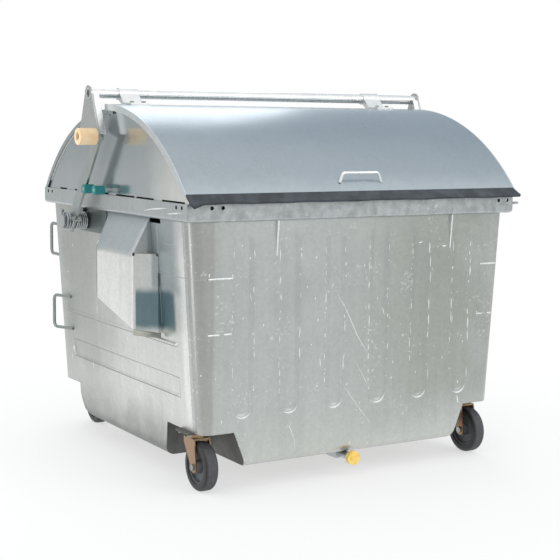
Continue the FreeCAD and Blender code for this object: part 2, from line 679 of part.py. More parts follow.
def arch(centre_height, outer, inner, y_ends, foot, x_ends):
    """A curved sheet: a ring about an X axis, kept between two depths above a level."""
    start = Vec(min(x_ends), 0, centre_height)
    length = max(x_ends) - min(x_ends)
    ring = Part.makeCylinder(outer, length, start, ALONG_X)
    if inner > 0:
        ring = ring.cut(Part.makeCylinder(inner, length, start, ALONG_X))
    return ring.common(block(x_ends, y_ends, (foot, FAR * 2)))


def dome():
    """Fixed end plates and the rear hood that they carry."""
    hood_inner = HOOD_RADIUS - HOOD_SHEET
    hood = arch(HOOD_ARC_HEIGHT, HOOD_RADIUS, hood_inner, (HOOD_FRONT, FAR), RIM_TOP,
                (-HOOD_HALF_WIDTH, HOOD_HALF_WIDTH))
    for sign in (-1, 1):
        x_ends = (sign * HOOD_HALF_WIDTH, sign * (HOOD_HALF_WIDTH - HOOD_SHEET))
        hood = hood.fuse(arch(HOOD_ARC_HEIGHT, HOOD_RADIUS, HOOD_RADIUS - HOOD_LIP, (HOOD_FRONT, FAR),
                              RIM_TOP, x_ends))
    export("rear_hood", hood.removeSplitter())
    x_ends = (END_PLATE_FACE - END_PLATE_SHEET, END_PLATE_FACE)
    rear_part = arch(HOOD_ARC_HEIGHT, hood_inner - DOME_SEAT, 0, (HOOD_FRONT, FAR), RIM_TOP, x_ends)
    front_radius = LID_RADIUS - LID_SHEET - LID_PLATE_CLEARANCE
    front_part = arch(LID_ARC_HEIGHT, front_radius, 0, (-FAR, HOOD_FRONT), RIM_TOP, x_ends)
    front_part = front_part.common(block(x_ends, (-RIM_HALF_Y + RIM_SHEET, 0), (0, FAR * 2)))
    plate = rear_part.fuse(front_part).removeSplitter()
    for ends in PLATE_SLOT_SHARES:
        y_ends = [share * RIM_HALF_Y for share in ends]
        plate = plate.cut(block(x_ends, y_ends, (0, RIM_TOP + PLATE_SLOT_HEIGHT)))
    export("end_plates", plate, mirrored(plate, ALONG_X))


def lid_point(depth, offset):
    """A point above the curved lid at a depth, in the YZ plane."""
    height = LID_ARC_HEIGHT + math.sqrt(LID_RADIUS ** 2 - depth ** 2)
    outward = Vec(0, depth, height - LID_ARC_HEIGHT).normalize()
    return Vec(0, depth, height) + outward * offset


def lid():
    """The curved lid with folded edges, its rubber lip and its handle."""
    inner = LID_RADIUS - LID_SHEET
    y_ends = (-FAR, LID_REAR)
    panel = arch(LID_ARC_HEIGHT, LID_RADIUS, inner, y_ends, LID_FRONT_HEIGHT,
                 (-LID_HALF_WIDTH, LID_HALF_WIDTH))
    for sign in (-1, 1):
        x_ends = (sign * LID_HALF_WIDTH, sign * (LID_HALF_WIDTH - LID_SHEET))
        panel = panel.fuse(arch(LID_ARC_HEIGHT, LID_RADIUS, LID_RADIUS - LID_EDGE, y_ends,
                                LID_FRONT_HEIGHT, x_ends))
    export("lid_panel", panel.removeSplitter())

    top_height = LID_FRONT_HEIGHT + LIP_SHEET
    edge_y = -math.sqrt(LID_RADIUS ** 2 - (top_height - LID_ARC_HEIGHT) ** 2)
    slope = Vec(0, -LIP_OUT, -LIP_DROP)
    out = Vec(0, -LIP_DROP, LIP_OUT).normalize() * LIP_SHEET
    seat = Vec(0, LID_FRONT, LID_FRONT_HEIGHT)
    foot = seat + slope
    tall = Vec(0, edge_y, top_height)
    outline = [seat, foot, foot + out, seat + out, tall + out, tall]
    reach = LID_HALF_WIDTH + LIP_FLARE
    lip = prism_x([(p.y, p.z) for p in outline], (-reach, reach))
    lip = lip.cut(Part.makeCylinder(LID_RADIUS, FAR * 2, Vec(-FAR, 0, LID_ARC_HEIGHT), ALONG_X))
    for sign in (-1, 1):
        edge = sign * LID_HALF_WIDTH
        flare = [(edge, top_height + LIP_OUT), (edge, LID_FRONT_HEIGHT),
                 (sign * reach, LID_FRONT_HEIGHT - LIP_DROP), (sign * FAR, 0), (sign * FAR, FAR)]
        lip = lip.cut(prism_y(flare, (-FAR, 0)))
    export("lid_lip", lip)

    foot_y = -math.sqrt(LID_RADIUS ** 2 - (HANDLE_FOOT_HEIGHT - LID_ARC_HEIGHT) ** 2)
    bar_y = -math.sqrt(LID_RADIUS ** 2 - (HANDLE_BAR_HEIGHT - LID_ARC_HEIGHT) ** 2)
    low = lid_point(foot_y, DOME_SEAT)
    high = lid_point(bar_y, HANDLE_STAND)
    foot_run = ALONG_X * (HANDLE_WIDTH / 2)
    bar_run = ALONG_X * (HANDLE_BAR_WIDTH / 2)
    points = [low - foot_run, high - bar_run, high + bar_run, low + foot_run]
    points = [point + ALONG_X * HANDLE_X for point in points]
    handle = tube_along(bent_edges(points, HANDLE_BEND), HANDLE_BAR_RADIUS)
    sheet = Part.makeCylinder(LID_RADIUS, FAR * 2, Vec(-FAR, 0, LID_ARC_HEIGHT), ALONG_X)
    export("lid_handle", handle.cut(sheet))


PIVOT = Vec(0, PIVOT_Y, PIVOT_HEIGHT)
ELBOW = Vec(0, ELBOW_Y, ELBOW_HEIGHT)
TUBE = Vec(0, TUBE_Y, TUBE_HEIGHT)
WEB_INNER = WEB_FACE - WEB_SHEET
BAR_INNER = WEB_INNER - BAR_SHEET
BAR_DIRECTION = (ELBOW - PIVOT).normalize()
BAR_REARWARD = Vec(0, BAR_DIRECTION.z, -BAR_DIRECTION.y)


def through(point, x_ends, radius):
    """A round bar along X through a point."""
    return rod(point + ALONG_X * min(x_ends), point + ALONG_X * max(x_ends), radius)


def bar_shape():
    """The flat lower bar of an arm, on the right side."""
    side = BAR_REARWARD * BAR_HALF_WIDTH
    tail = PIVOT - BAR_DIRECTION * BAR_TAIL
    head = ELBOW + BAR_DIRECTION * BAR_HEAD
    outline = [tail + side, tail - side, head - side, head + side]
    bar = prism_x([(p.y, p.z) for p in outline], (BAR_INNER, WEB_INNER))
    bar = bar.cut(through(PIVOT, (0, FAR), PIVOT_RADIUS + RUNNING_CLEARANCE))
    return bar.cut(through(ELBOW, (0, FAR), ROLLER_PIN_RADIUS))


def web_shape():
    """The tapering upper plate of an arm with its front flange, on the right side."""
    eye = through(TUBE, (WEB_INNER, WEB_FACE), WEB_EYE_RADIUS)
    toe = through(ELBOW, (WEB_INNER, WEB_FACE), WEB_TOE_RADIUS)
    outline = [(TUBE_Y - WEB_EYE_RADIUS, TUBE_HEIGHT), (TUBE_Y + WEB_EYE_RADIUS, TUBE_HEIGHT),
               (WEB_FOOT_REAR, WEB_FOOT_HEIGHT), (ELBOW_Y, WEB_TOE_HEIGHT),
               (ELBOW_Y - WEB_TOE_RADIUS, ELBOW_HEIGHT)]
    plate = prism_x(outline, (WEB_INNER, WEB_FACE)).fuse(eye).fuse(toe)
    front_foot = ELBOW_Y - WEB_TOE_RADIUS
    share = (FLANGE_FOOT - ELBOW_HEIGHT) / (TUBE_HEIGHT - ELBOW_HEIGHT)
    front_head = TUBE_Y - WEB_EYE_RADIUS
    foot_y = front_foot + (front_head - front_foot) * share
    strip = [(foot_y, FLANGE_FOOT), (front_head, TUBE_HEIGHT), (front_head + WEB_SHEET, TUBE_HEIGHT),
             (foot_y + WEB_SHEET, FLANGE_FOOT)]
    flange = prism_x(strip, (WEB_INNER - FLANGE_WIDTH, WEB_FACE))
    arm = plate.fuse(flange).removeSplitter()
    arm = arm.cut(through(TUBE, (0, FAR), TUBE_RADIUS))
    return arm.cut(through(ELBOW, (0, FAR), ROLLER_PIN_RADIUS))


def arms():
    """Two arms, the cross tube, its clamps on the lid and the arm rollers."""
    web = web_shape()
    bar = bar_shape().cut(web)
    inner_lug, outer_lug = moving_lugs()
    bar = bar.fuse(inner_lug).fuse(outer_lug).removeSplitter()
    for side, sign in SIDES:
        export("arm_upper_" + side, on_side(web, sign))
        export("arm_lower_" + side, on_side(bar, sign))
    tube = through(TUBE, (-WEB_FACE, WEB_FACE), TUBE_RADIUS)
    export("cross_tube", tube.cut(through(TUBE, (-FAR, FAR), TUBE_RADIUS - TUBE_WALL)))

    sheet = Part.makeCylinder(LID_RADIUS, FAR * 2, Vec(-FAR, 0, LID_ARC_HEIGHT), ALONG_X)
    clamps = []
    bolts = []
    for place in CLAMP_PLACES:
        x_ends = (place - CLAMP_WIDTH / 2, place + CLAMP_WIDTH / 2)
        ring = through(TUBE, x_ends, TUBE_RADIUS + CLAMP_STRAP)
        foot_top = LID_RISE + CLAMP_PLATE
        rear = TUBE_Y + TUBE_RADIUS
        tongue = [(CLAMP_FOOT, LID_RISE - CLAMP_PLATE), (LID_REAR, LID_RISE - CLAMP_PLATE),
                  (rear, TUBE_HEIGHT - CLAMP_PLATE), (TUBE_Y, TUBE_HEIGHT),
                  (TUBE_Y - TUBE_RADIUS - CLAMP_STRAP, TUBE_HEIGHT),
                  (LID_REAR - CLAMP_PLATE * 2, foot_top), (CLAMP_FOOT, foot_top)]
        clamp = prism_x(tongue, x_ends).fuse(ring).cut(sheet)
        clamp = clamp.cut(through(TUBE, (-FAR, FAR), TUBE_RADIUS))
        clamps.append(clamp.removeSplitter())
        for sign in (-1, 1):
            base = Vec(place + sign * CLAMP_BOLT_SPREAD / 2, CLAMP_BOLT_Y, foot_top)
            bolts.append(hexagon(base, BOLT_HEAD_RADIUS, BOLT_HEAD))
    export("tube_clamps", *clamps)
    export("clamp_bolts", *bolts)

    pins = []
    roller_start = WEB_FACE + ROLLER_GAP
    roller_end = roller_start + ROLLER_LENGTH
    for side, sign in SIDES:
        pin_end = roller_end - ROLLER_RECESS + PIN_NUT / 2
        pin = through(ELBOW, (BAR_INNER - PIN_NUT, pin_end), ROLLER_PIN_RADIUS)
        nut = through(ELBOW, (BAR_INNER - PIN_NUT, BAR_INNER), PIN_NUT_RADIUS)
        keeper = through(ELBOW, (roller_end - ROLLER_RECESS + ROLLER_GAP, pin_end),
                         ROLLER_RECESS_RADIUS - ROLLER_GAP * 2)
        pins.append(on_side(pin.fuse(nut).fuse(keeper).removeSplitter(), sign))
        roller = through(ELBOW, (roller_start, roller_end), ROLLER_RADIUS)
        rims = [edge for edge in roller.Edges if edge.Closed]
        roller = roller.makeFillet(ROLLER_EDGE, rims)
        roller = roller.cut(through(ELBOW, (0, FAR), ROLLER_PIN_RADIUS + RUNNING_CLEARANCE))
        roller = roller.cut(through(ELBOW, (roller_end - ROLLER_RECESS, FAR), ROLLER_RECESS_RADIUS))
        export("arm_roller_" + side, on_side(roller, sign))
    export("roller_pins", *pins)


def hexagon(base, radius, height):
    """A hexagon head standing on a point."""
    points = []
    for corner in range(6):
        angle = math.radians(60 * corner)
        points.append(base + Vec(radius * math.cos(angle), radius * math.sin(angle), 0))
    return Part.Face(Part.makePolygon(points + points[:1])).extrude(Vec(0, 0, height))


INNER_COIL_START = BRACKET_FACE + SPRING_SEAT + SPRING_WIRE_RADIUS
INNER_COIL_END = BAR_INNER - SPRING_SEAT - SPRING_WIRE_RADIUS
OUTER_COIL_START = WEB_INNER + SPRING_SEAT + SPRING_WIRE_RADIUS
OUTER_COIL_END = OUTER_COIL_START + (SPRING_TURNS_OUTER + 0.5) * SPRING_PITCH_OUTER
LEAST_PITCH = SPRING_WIRE_RADIUS * 2 + SPRING_GAP
SPRING_TURNS_INNER = int((INNER_COIL_END - INNER_COIL_START) / LEAST_PITCH - 0.5)
PIVOT_REACH = OUTER_COIL_END + SPRING_WIRE_RADIUS + SPRING_SEAT + PIVOT_COLLAR


def moving_lug_at(x_ends):
    """The block on the bar that a spring leg pushes, in front of the bar."""
    near = PIVOT - BAR_REARWARD * SPRING_RADIUS + BAR_DIRECTION * (SPRING_MOVING_LEG + SPRING_END_GAP)
    far = near + BAR_DIRECTION * LUG_THICKNESS
    inside = BAR_REARWARD * (SPRING_RADIUS - BAR_HALF_WIDTH + LUG_HALF_WIDTH)
    outside = BAR_REARWARD * LUG_HALF_WIDTH
    outline = [near - outside, far - outside, far + inside, near + inside]
    return prism_x([(p.y, p.z) for p in outline], x_ends)


def moving_lugs():
    """The inner and the outer lug of an arm, on the right side."""
    inner_reach = INNER_COIL_END - SPRING_WIRE_RADIUS * 2
    outer_reach = OUTER_COIL_START + SPRING_WIRE_RADIUS * 2
    return moving_lug_at((inner_reach, WEB_INNER)), moving_lug_at((BAR_INNER, outer_reach))


def fixed_lug(x_ends):
    """The block on the tub side that holds the other leg of a spring, behind the pin."""
    near = PIVOT + BAR_REARWARD * SPRING_RADIUS + BAR_DIRECTION * (SPRING_FIXED_LEG + SPRING_END_GAP)
    far = near + BAR_DIRECTION * LUG_THICKNESS
    inside = BAR_REARWARD * LUG_INSIDE
    outside = BAR_REARWARD * LUG_HALF_WIDTH
    outline = [near - inside, far - inside, far + outside, near + outside]
    return prism_x([(p.y, p.z) for p in outline], x_ends)


def spring(x_start, x_end, whole_turns, name):
    """A torsion coil about the hinge axis with a straight leg at each end, on the right side."""
    turns = whole_turns + 0.5
    rise = (x_end - x_start) / (2 * math.pi * turns)

    def coil(angle):
        swing = BAR_REARWARD * math.cos(angle) - BAR_DIRECTION * math.sin(angle)
        heading = BAR_REARWARD * -math.sin(angle) - BAR_DIRECTION * math.cos(angle)
        place = PIVOT + ALONG_X * (x_start + rise * angle) + swing * SPRING_RADIUS
        return place, (heading * SPRING_RADIUS + ALONG_X * rise).normalize()

    first, first_heading = coil(0)
    last, last_heading = coil(2 * math.pi * turns)
    edges = [Part.makeLine(first - first_heading * SPRING_FIXED_LEG, first)]
    steps = int(turns * 4)
    for step in range(steps):
        start, heading = coil(2 * math.pi * turns * step / steps)
        end, next_heading = coil(2 * math.pi * turns * (step + 1) / steps)
        edges += biarc(start, heading, end, next_heading)
    edges.append(Part.makeLine(last, last + last_heading * SPRING_MOVING_LEG))
    report_gap(edges, name)
    return tube_along(edges, SPRING_WIRE_RADIUS)


def biarc(start, heading, end, next_heading):
    """Two arcs that leave along one heading and arrive along another."""
    chord = end - start
    both = heading + next_heading
    turn = 2 * (1 - heading.dot(next_heading))
    reach = (math.sqrt(chord.dot(both) ** 2 + turn * chord.dot(chord)) - chord.dot(both)) / turn
    first = start + heading * reach
    second = end - next_heading * reach
    middle = (first + second) * 0.5
    return [arc_between(start, first, middle), arc_between(middle, second, end)]


def report_gap(edges, name):
    """Print the least gap between the turns of a tube."""
    points = []
    travelled = 0
    for edge in edges:
        count = max(2, int(edge.Length / SPRING_WIRE_RADIUS))
        for point in edge.discretize(count)[:-1]:
            if points:
                travelled += (point - points[-1][1]).Length
            points.append((travelled, point))
    apart = math.pi * SPRING_RADIUS
    least = min((p - q).Length for s, p in points for t, q in points if t - s > apart)
    gap = least - 2 * SPRING_WIRE_RADIUS
    print(name, "least gap between turns", round(gap, 2))


def hinges():
    """Hinge pins on brackets, torsion springs and the stops of the arms."""
    bracket = block((FOOT_HALF_X, BRACKET_FACE), (BRACKET_FRONT, BRACKET_REAR),
                    (RIM_FOOT - BRACKET_DROP, RIM_FOOT)).cut(TUB_OUTSIDE)
    bracket = bracket.cut(through(PIVOT, (0, FAR), PIVOT_RADIUS))
    inner_lug = fixed_lug((BRACKET_FACE, INNER_COIL_START + SPRING_WIRE_RADIUS * 2))
    bracket = bracket.fuse(inner_lug).removeSplitter()
    pin = through(PIVOT, (BRACKET_FACE - WEB_SHEET, PIVOT_REACH), PIVOT_RADIUS)
    pin = pin.cut(TUB_OUTSIDE)
    collar = through(PIVOT, (PIVOT_REACH - PIVOT_COLLAR, PIVOT_REACH), PIVOT_COLLAR_RADIUS)
    outer_lug = fixed_lug((OUTER_COIL_END - SPRING_WIRE_RADIUS, PIVOT_REACH))
    tie = BAR_REARWARD * SPRING_RADIUS
    lift = BAR_DIRECTION * (SPRING_FIXED_LEG + SPRING_END_GAP + LUG_THICKNESS)
    base = BAR_REARWARD * LUG_HALF_WIDTH
    outline = [PIVOT - base, PIVOT + base, PIVOT + tie + lift + base, PIVOT + tie + lift - base]
    arm = prism_x([(p.y, p.z) for p in outline], (PIVOT_REACH - PIVOT_COLLAR, PIVOT_REACH))
    pin = pin.fuse(collar).fuse(outer_lug).fuse(arm).removeSplitter()
    inner = spring(INNER_COIL_START, INNER_COIL_END, SPRING_TURNS_INNER, "inner spring")
    outer = spring(OUTER_COIL_END, OUTER_COIL_START, SPRING_TURNS_OUTER, "outer spring")
    export("hinge_brackets", bracket, mirrored(bracket, ALONG_X))
    export("hinge_pins", pin, mirrored(pin, ALONG_X))
    for side, sign in SIDES:
        export("inner_spring_" + side, on_side(inner, sign))
        export("outer_spring_" + side, on_side(outer, sign))

    stop_height = RIM_TOP + STOP_RISE
    standoff = BAR_HALF_WIDTH + STOP_SLEEVE_RADIUS + STOP_CLEARANCE
    climb = (stop_height - PIVOT_HEIGHT + standoff * BAR_REARWARD.z) / BAR_DIRECTION.z
    rest = PIVOT + BAR_DIRECTION * climb - BAR_REARWARD * standoff
    sleeves = []
    pins = []
    for side, sign in SIDES:
        for step in (0, STOP_PITCH):
            centre = rest - ALONG_Y * step
            sleeve_start = END_PLATE_FACE + STOP_SHANK
            sleeve_end = sleeve_start + STOP_SLEEVE
            sleeve = through(centre, (sleeve_start, sleeve_end), STOP_SLEEVE_RADIUS)
            sleeve = sleeve.cut(through(centre, (0, FAR), STOP_PIN_RADIUS))
            sleeves.append(on_side(sleeve, sign))
            pins.append(on_side(through(centre, (END_PLATE_FACE, sleeve_end), STOP_PIN_RADIUS), sign))
    export("stop_sleeves", *sleeves)
    export("stop_pins", *pins)


def pockets():
    """Sheet boxes on the sides for lifting, with a sloping top and an open foot."""
    wall = half_x(POCKET_SHOULDER)

    def body(inset):
        face = POCKET_FACE - inset
        high = RIM_FOOT - inset * 2
        shoulder = POCKET_SHOULDER - inset / 2
        rear = POCKET_REAR - inset
        front = POCKET_FRONT + inset
        slope = [(0, high), (half_x(RIM_FOOT), high), (face, shoulder), (0, shoulder)]
        lean = rear + POCKET_LEAN
        plan = [(0, lean), (wall, lean), (face, rear), (face, front), (0, front)]
        upper = prism_y(slope, (-FAR, FAR)).common(prism_z(plan, (0, FAR)))
        flared = front - POCKET_FLARE
        plan = [(0, rear), (face, rear), (face, front), (wall, flared), (0, flared)]
        return upper.fuse(prism_z(plan, (0, shoulder))).removeSplitter()

    front = POCKET_FRONT - POCKET_FLARE
    slit_top = POCKET_SHOULDER - POCKET_SLIT_DROP
    rear = POCKET_REAR + POCKET_LEAN
    keep = [(POCKET_REAR, POCKET_FOOT_REAR), (rear, POCKET_FOOT_REAR), (rear, FAR), (front, FAR),
            (front, POCKET_FOOT_FRONT)]
    box = body(0).cut(body(POCKET_SHEET)).common(prism_x(keep, (0, FAR))).cut(TUB_OUTSIDE)
    corner = Vec(POCKET_FACE, POCKET_FRONT, POCKET_SHOULDER)
    box = box.cut(Part.makeSphere(POCKET_NOTCH_RADIUS, corner))
    box = box.cut(Part.makeSphere(POCKET_NOTCH_RADIUS, Vec(wall, front, POCKET_SHOULDER)))
    box = box.cut(block((0, wall), (front, front + POCKET_SLIT_WIDTH),
                        (slit_top - POCKET_SLIT_HEIGHT, slit_top)))
    for side, sign in SIDES:
        export("lifting_box_" + side, on_side(box, sign))


def grab_handles():
    """Round-bar handles at the rear corners, one high and one low on each side."""
    high = []
    low = []
    for side, sign in SIDES:
        x = GRAB_HIGH_X
        root = half_y(GRAB_HIGH_TOP) - TUB_CORNER
        reach = GRAB_REACH - GRAB_RADIUS
        points = [Vec(x, root, GRAB_HIGH_TOP), Vec(x, reach, GRAB_HIGH_TOP),
                  Vec(x, reach, GRAB_HIGH_FOOT), Vec(x, root, GRAB_HIGH_FOOT)]
        grip = tube_along(bent_edges(points, GRAB_BEND), GRAB_RADIUS).cut(TUB_OUTSIDE)
        high.append(on_side(grip, sign))
        outward = half_x(GRAB_LOW_TOP) + GRAB_LOW_STAND
        points = [Vec(half_x(GRAB_LOW_TOP), GRAB_LOW_FRONT, GRAB_LOW_TOP),
                  Vec(outward, GRAB_LOW_REACH, GRAB_LOW_TOP),
                  Vec(outward, GRAB_LOW_REACH, GRAB_LOW_FOOT),
                  Vec(half_x(GRAB_LOW_FOOT), GRAB_LOW_FRONT, GRAB_LOW_FOOT)]
        grip = tube_along(bent_edges(points, GRAB_BEND), GRAB_RADIUS).cut(TUB_OUTSIDE)
        low.append(on_side(grip, sign))
    export("upper_grab_handles", *high)
    export("lower_grab_handles", *low)


def drain():
    """A drain elbow under the floor with its screw cap in front."""
    width = DRAIN_BLOCK_WIDTH / 2
    depth = DRAIN_BLOCK_DEPTH / 2
    elbow = block((DRAIN_X - width, DRAIN_X + width), (DRAIN_MIDDLE - depth, DRAIN_MIDDLE + depth),
                  (DRAIN_HEIGHT - DRAIN_PIPE_RADIUS, TUB_FLOOR))
    pipe_end = -FOOT_HALF_Y - DRAIN_PIPE_REACH
    mouth = Vec(DRAIN_X, pipe_end, DRAIN_HEIGHT)
    middle = Vec(DRAIN_X, DRAIN_MIDDLE, DRAIN_HEIGHT)
    elbow = elbow.fuse(rod(mouth, middle, DRAIN_PIPE_RADIUS))
    elbow = elbow.cut(rod(mouth, middle, DRAIN_BORE_RADIUS))
    elbow = elbow.cut(rod(middle, middle + UP * DRAIN_HEIGHT, DRAIN_BORE_RADIUS))
    export("drain_elbow", elbow.removeSplitter())
    face = mouth - ALONG_Y * (PLUG_FACE + DRAIN_CLEARANCE)
    cap = rod(face, face + ALONG_Y * PLUG_LENGTH, PLUG_RADIUS)
    hollow = rod(face + ALONG_Y * PLUG_FACE, face + ALONG_Y * PLUG_LENGTH * 2,
                 DRAIN_PIPE_RADIUS + DRAIN_CLEARANCE)
    grip_x = PLUG_RADIUS / 2
    grip_z = PLUG_GRIP_WIDTH / 2
    grip = block((DRAIN_X - grip_x, DRAIN_X + grip_x), (face.y - PLUG_GRIP_RISE, face.y),
                 (DRAIN_HEIGHT - grip_z, DRAIN_HEIGHT + grip_z))
    export("drain_cap", cap.cut(hollow).fuse(grip).removeSplitter())


def caster_plate():
    """The bolted top plate of a caster with its kingpin, about its swivel axis."""
    half_width = CASTER_PLATE_WIDTH / 2
    half_depth = CASTER_PLATE_DEPTH / 2
    under = HOUSING_TOP - CASTER_PLATE
    plate = block((-half_width, half_width), (-half_depth, half_depth), (under, HOUSING_TOP))
    foot = FORK_CROWN_HEIGHT - FORK_SHEET - KINGPIN_NUT - BEARING_GAP
    plate = plate.fuse(rod(Vec(0, 0, foot), Vec(0, 0, under), KINGPIN_RADIUS))
    nut = hexagon(Vec(0, 0, foot), KINGPIN_NUT_RADIUS, KINGPIN_NUT)
    return plate.fuse(nut).removeSplitter()


def caster_bolts():
    """Four bolt heads under the corners of a caster plate."""
    heads = []
    under = HOUSING_TOP - CASTER_PLATE - BOLT_HEAD
    for turn_x in (-1, 1):
        for turn_y in (-1, 1):
            x = turn_x * (CASTER_PLATE_WIDTH / 2 - CASTER_BOLT_INSET)
            y = turn_y * (CASTER_PLATE_DEPTH / 2 - CASTER_BOLT_INSET)
            heads.append(hexagon(Vec(x, y, under), BOLT_HEAD_RADIUS, BOLT_HEAD))
    return heads


def fork_shape():
    """A swivel fork: bearing head, crown and two legs, with the trail toward the front."""
    under = HOUSING_TOP - CASTER_PLATE - BEARING_GAP
    inner = HUB_WIDTH / 2 + FORK_GAP
    outer = inner + FORK_SHEET
    crown = block((-outer, outer), (-FORK_CROWN_HALF, FORK_CROWN_HALF),
                  (FORK_CROWN_HEIGHT - FORK_SHEET, FORK_CROWN_HEIGHT))
    head = rod(Vec(0, 0, FORK_CROWN_HEIGHT - FORK_SHEET), Vec(0, 0, under), BEARING_RADIUS)
    fork = crown.fuse(head)
    axle = Vec(0, -WHEEL_TRAIL, WHEEL_RADIUS)
    lean = FORK_BOSS_RADIUS
    outline = [(-FORK_CROWN_HALF, FORK_CROWN_HEIGHT), (FORK_CROWN_HALF, FORK_CROWN_HEIGHT),
               (FORK_CROWN_HALF, FORK_CROWN_HEIGHT - FORK_BOSS_RADIUS),
               (axle.y + lean, axle.z), (axle.y - lean, axle.z),
               (-FORK_CROWN_HALF - FORK_SHEET, FORK_CROWN_HEIGHT - FORK_BOSS_RADIUS)]
    for sign in (-1, 1):
        x_ends = (sign * inner, sign * outer)
        fork = fork.fuse(prism_x(outline, x_ends)).fuse(through(axle, x_ends, FORK_BOSS_RADIUS))
    fork = fork.cut(through(axle, (-FAR, FAR), AXLE_RADIUS))
    bore = rod(Vec(0, 0, 0), Vec(0, 0, FAR), KINGPIN_RADIUS + RUNNING_CLEARANCE)
    return fork.cut(bore).removeSplitter()


def axle_shape():
    """The axle bolt of a caster with its head and nut."""
    outer = HUB_WIDTH / 2 + FORK_GAP + FORK_SHEET
    axle = Vec(0, -WHEEL_TRAIL, WHEEL_RADIUS)
    bolt = through(axle, (-outer - AXLE_HEAD, outer + AXLE_HEAD), AXLE_RADIUS)
    for sign in (-1, 1):
        bolt = bolt.fuse(through(axle, (sign * outer, sign * (outer + AXLE_HEAD)), AXLE_HEAD_RADIUS))
    return bolt.removeSplitter()


def turned(profile, centre):
    """A body turned about an X axis from (x, radius) points."""
    points = [centre + Vec(x, 0, radius) for x, radius in profile]
    return Part.Face(Part.makePolygon(points + points[:1])).revolve(centre, ALONG_X, 360)


def hub_shape():
    """A wheel centre with a bored boss, a web and a rim seat."""
    half = HUB_WIDTH / 2
    seat = WHEEL_WIDTH / 2 - TYRE_SHOULDER / 2
    bore = AXLE_RADIUS + RUNNING_CLEARANCE
    web = HUB_WEB / 2
    inner_seat = RIM_SEAT_RADIUS - HUB_WEB / 2
    profile = [(half, bore), (half, HUB_RADIUS), (web, HUB_RADIUS), (web, inner_seat),
               (seat, inner_seat), (seat, RIM_SEAT_RADIUS)]
    profile += [(-x, radius) for x, radius in reversed(profile)]
    return turned(profile, Vec(0, -WHEEL_TRAIL, WHEEL_RADIUS))


def tyre_shape():
    """A solid tyre with rounded shoulders on the rim seat."""
    half = WHEEL_WIDTH / 2
    profile = [(-half, RIM_SEAT_RADIUS), (half, RIM_SEAT_RADIUS), (half, WHEEL_RADIUS)]
    profile.append((-half, WHEEL_RADIUS))
    tyre = turned(profile, Vec(0, -WHEEL_TRAIL, WHEEL_RADIUS))
    middle = (WHEEL_RADIUS + RIM_SEAT_RADIUS) / 2
    tread = [edge for edge in tyre.Edges if edge.Closed and edge.Curve.Radius > middle]
    return tyre.makeFillet(TYRE_SHOULDER, tread)


def casters():
    """Four casters: the front pair trails forward, the rear pair backward."""
    plates = []
    bolts = []
    for end, turn_y, reach_x, reach_y in (("front", -1, FRONT_CASTER_X, FRONT_CASTER_Y),
                                          ("rear", 1, REAR_CASTER_X, REAR_CASTER_Y)):
        for side, sign in SIDES:
            def placed(shape):
                body = shape if turn_y < 0 else mirrored(shape, ALONG_Y)
                body = body.copy()
                body.translate(Vec(sign * reach_x, turn_y * reach_y, 0))
                return body
            name = end + "_" + side
            plates.append(placed(caster_plate()))
            bolts += [placed(bolt) for bolt in caster_bolts()]
            export("fork_" + name, placed(fork_shape()))
            export("axle_" + name, placed(axle_shape()))
            export("hub_" + name, placed(hub_shape()))
            export("tyre_" + name, placed(tyre_shape()))
    export("caster_plates", *plates)
    export("caster_bolts", *bolts)


tub()
rim()
dome()
lid()
arms()
hinges()
pockets()
grab_handles()
drain()
casters()
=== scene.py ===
import json
import math
import random

import bmesh
import bpy
from bpy.props import FloatProperty, FloatVectorProperty, IntProperty, PointerProperty
from bpy.types import Operator, Panel, PropertyGroup
from mathutils import Matrix, Vector


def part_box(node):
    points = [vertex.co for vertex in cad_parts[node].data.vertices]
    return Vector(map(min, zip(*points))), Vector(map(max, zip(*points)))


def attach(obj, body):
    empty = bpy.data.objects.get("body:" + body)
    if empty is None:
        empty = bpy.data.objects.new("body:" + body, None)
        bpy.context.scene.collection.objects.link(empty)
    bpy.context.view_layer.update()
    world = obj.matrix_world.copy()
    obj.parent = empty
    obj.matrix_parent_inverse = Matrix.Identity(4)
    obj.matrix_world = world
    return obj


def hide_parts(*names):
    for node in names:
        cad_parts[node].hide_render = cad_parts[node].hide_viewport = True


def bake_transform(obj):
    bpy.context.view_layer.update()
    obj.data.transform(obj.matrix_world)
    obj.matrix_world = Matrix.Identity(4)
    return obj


bl_info = {
    "name": "Galvanised Waste Container",
    "version": (1, 0, 0),
    "blender": (4, 5, 0),
    "location": "View3D > Sidebar > Container",
    "description": "Dresses a four-wheeled steel waste container with zinc, rubber, welds and springs",
    "category": "Object",
}

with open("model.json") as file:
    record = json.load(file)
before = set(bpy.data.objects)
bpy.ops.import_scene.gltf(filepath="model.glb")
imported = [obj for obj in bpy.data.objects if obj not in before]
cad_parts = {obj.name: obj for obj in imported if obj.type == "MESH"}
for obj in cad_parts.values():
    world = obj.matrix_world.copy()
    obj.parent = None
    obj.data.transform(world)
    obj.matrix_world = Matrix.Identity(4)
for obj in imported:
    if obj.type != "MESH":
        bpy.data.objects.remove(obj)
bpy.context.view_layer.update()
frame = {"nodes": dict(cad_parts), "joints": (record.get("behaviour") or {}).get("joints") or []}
NODES = frame["nodes"]
JOINTS = {joint["name"]: joint for joint in frame["joints"]}
MM = 0.001
CORNERS = [end + "_" + side for end in ("front", "rear") for side in ("left", "right")]
SIDES = (("left", -1), ("right", 1))
HINGE = Vector(JOINTS["lid_swing"]["pos_m"])
ELBOW = Vector(JOINTS["arm_roller_right_spin"]["pos_m"])
ALONG_X = Vector((1, 0, 0))
ALONG_Y = Vector((0, 1, 0))
ALONG_Z = Vector((0, 0, 1))

# Rays that look for a sheet start this far from the middle of the object.
OUTSIDE = 2.0

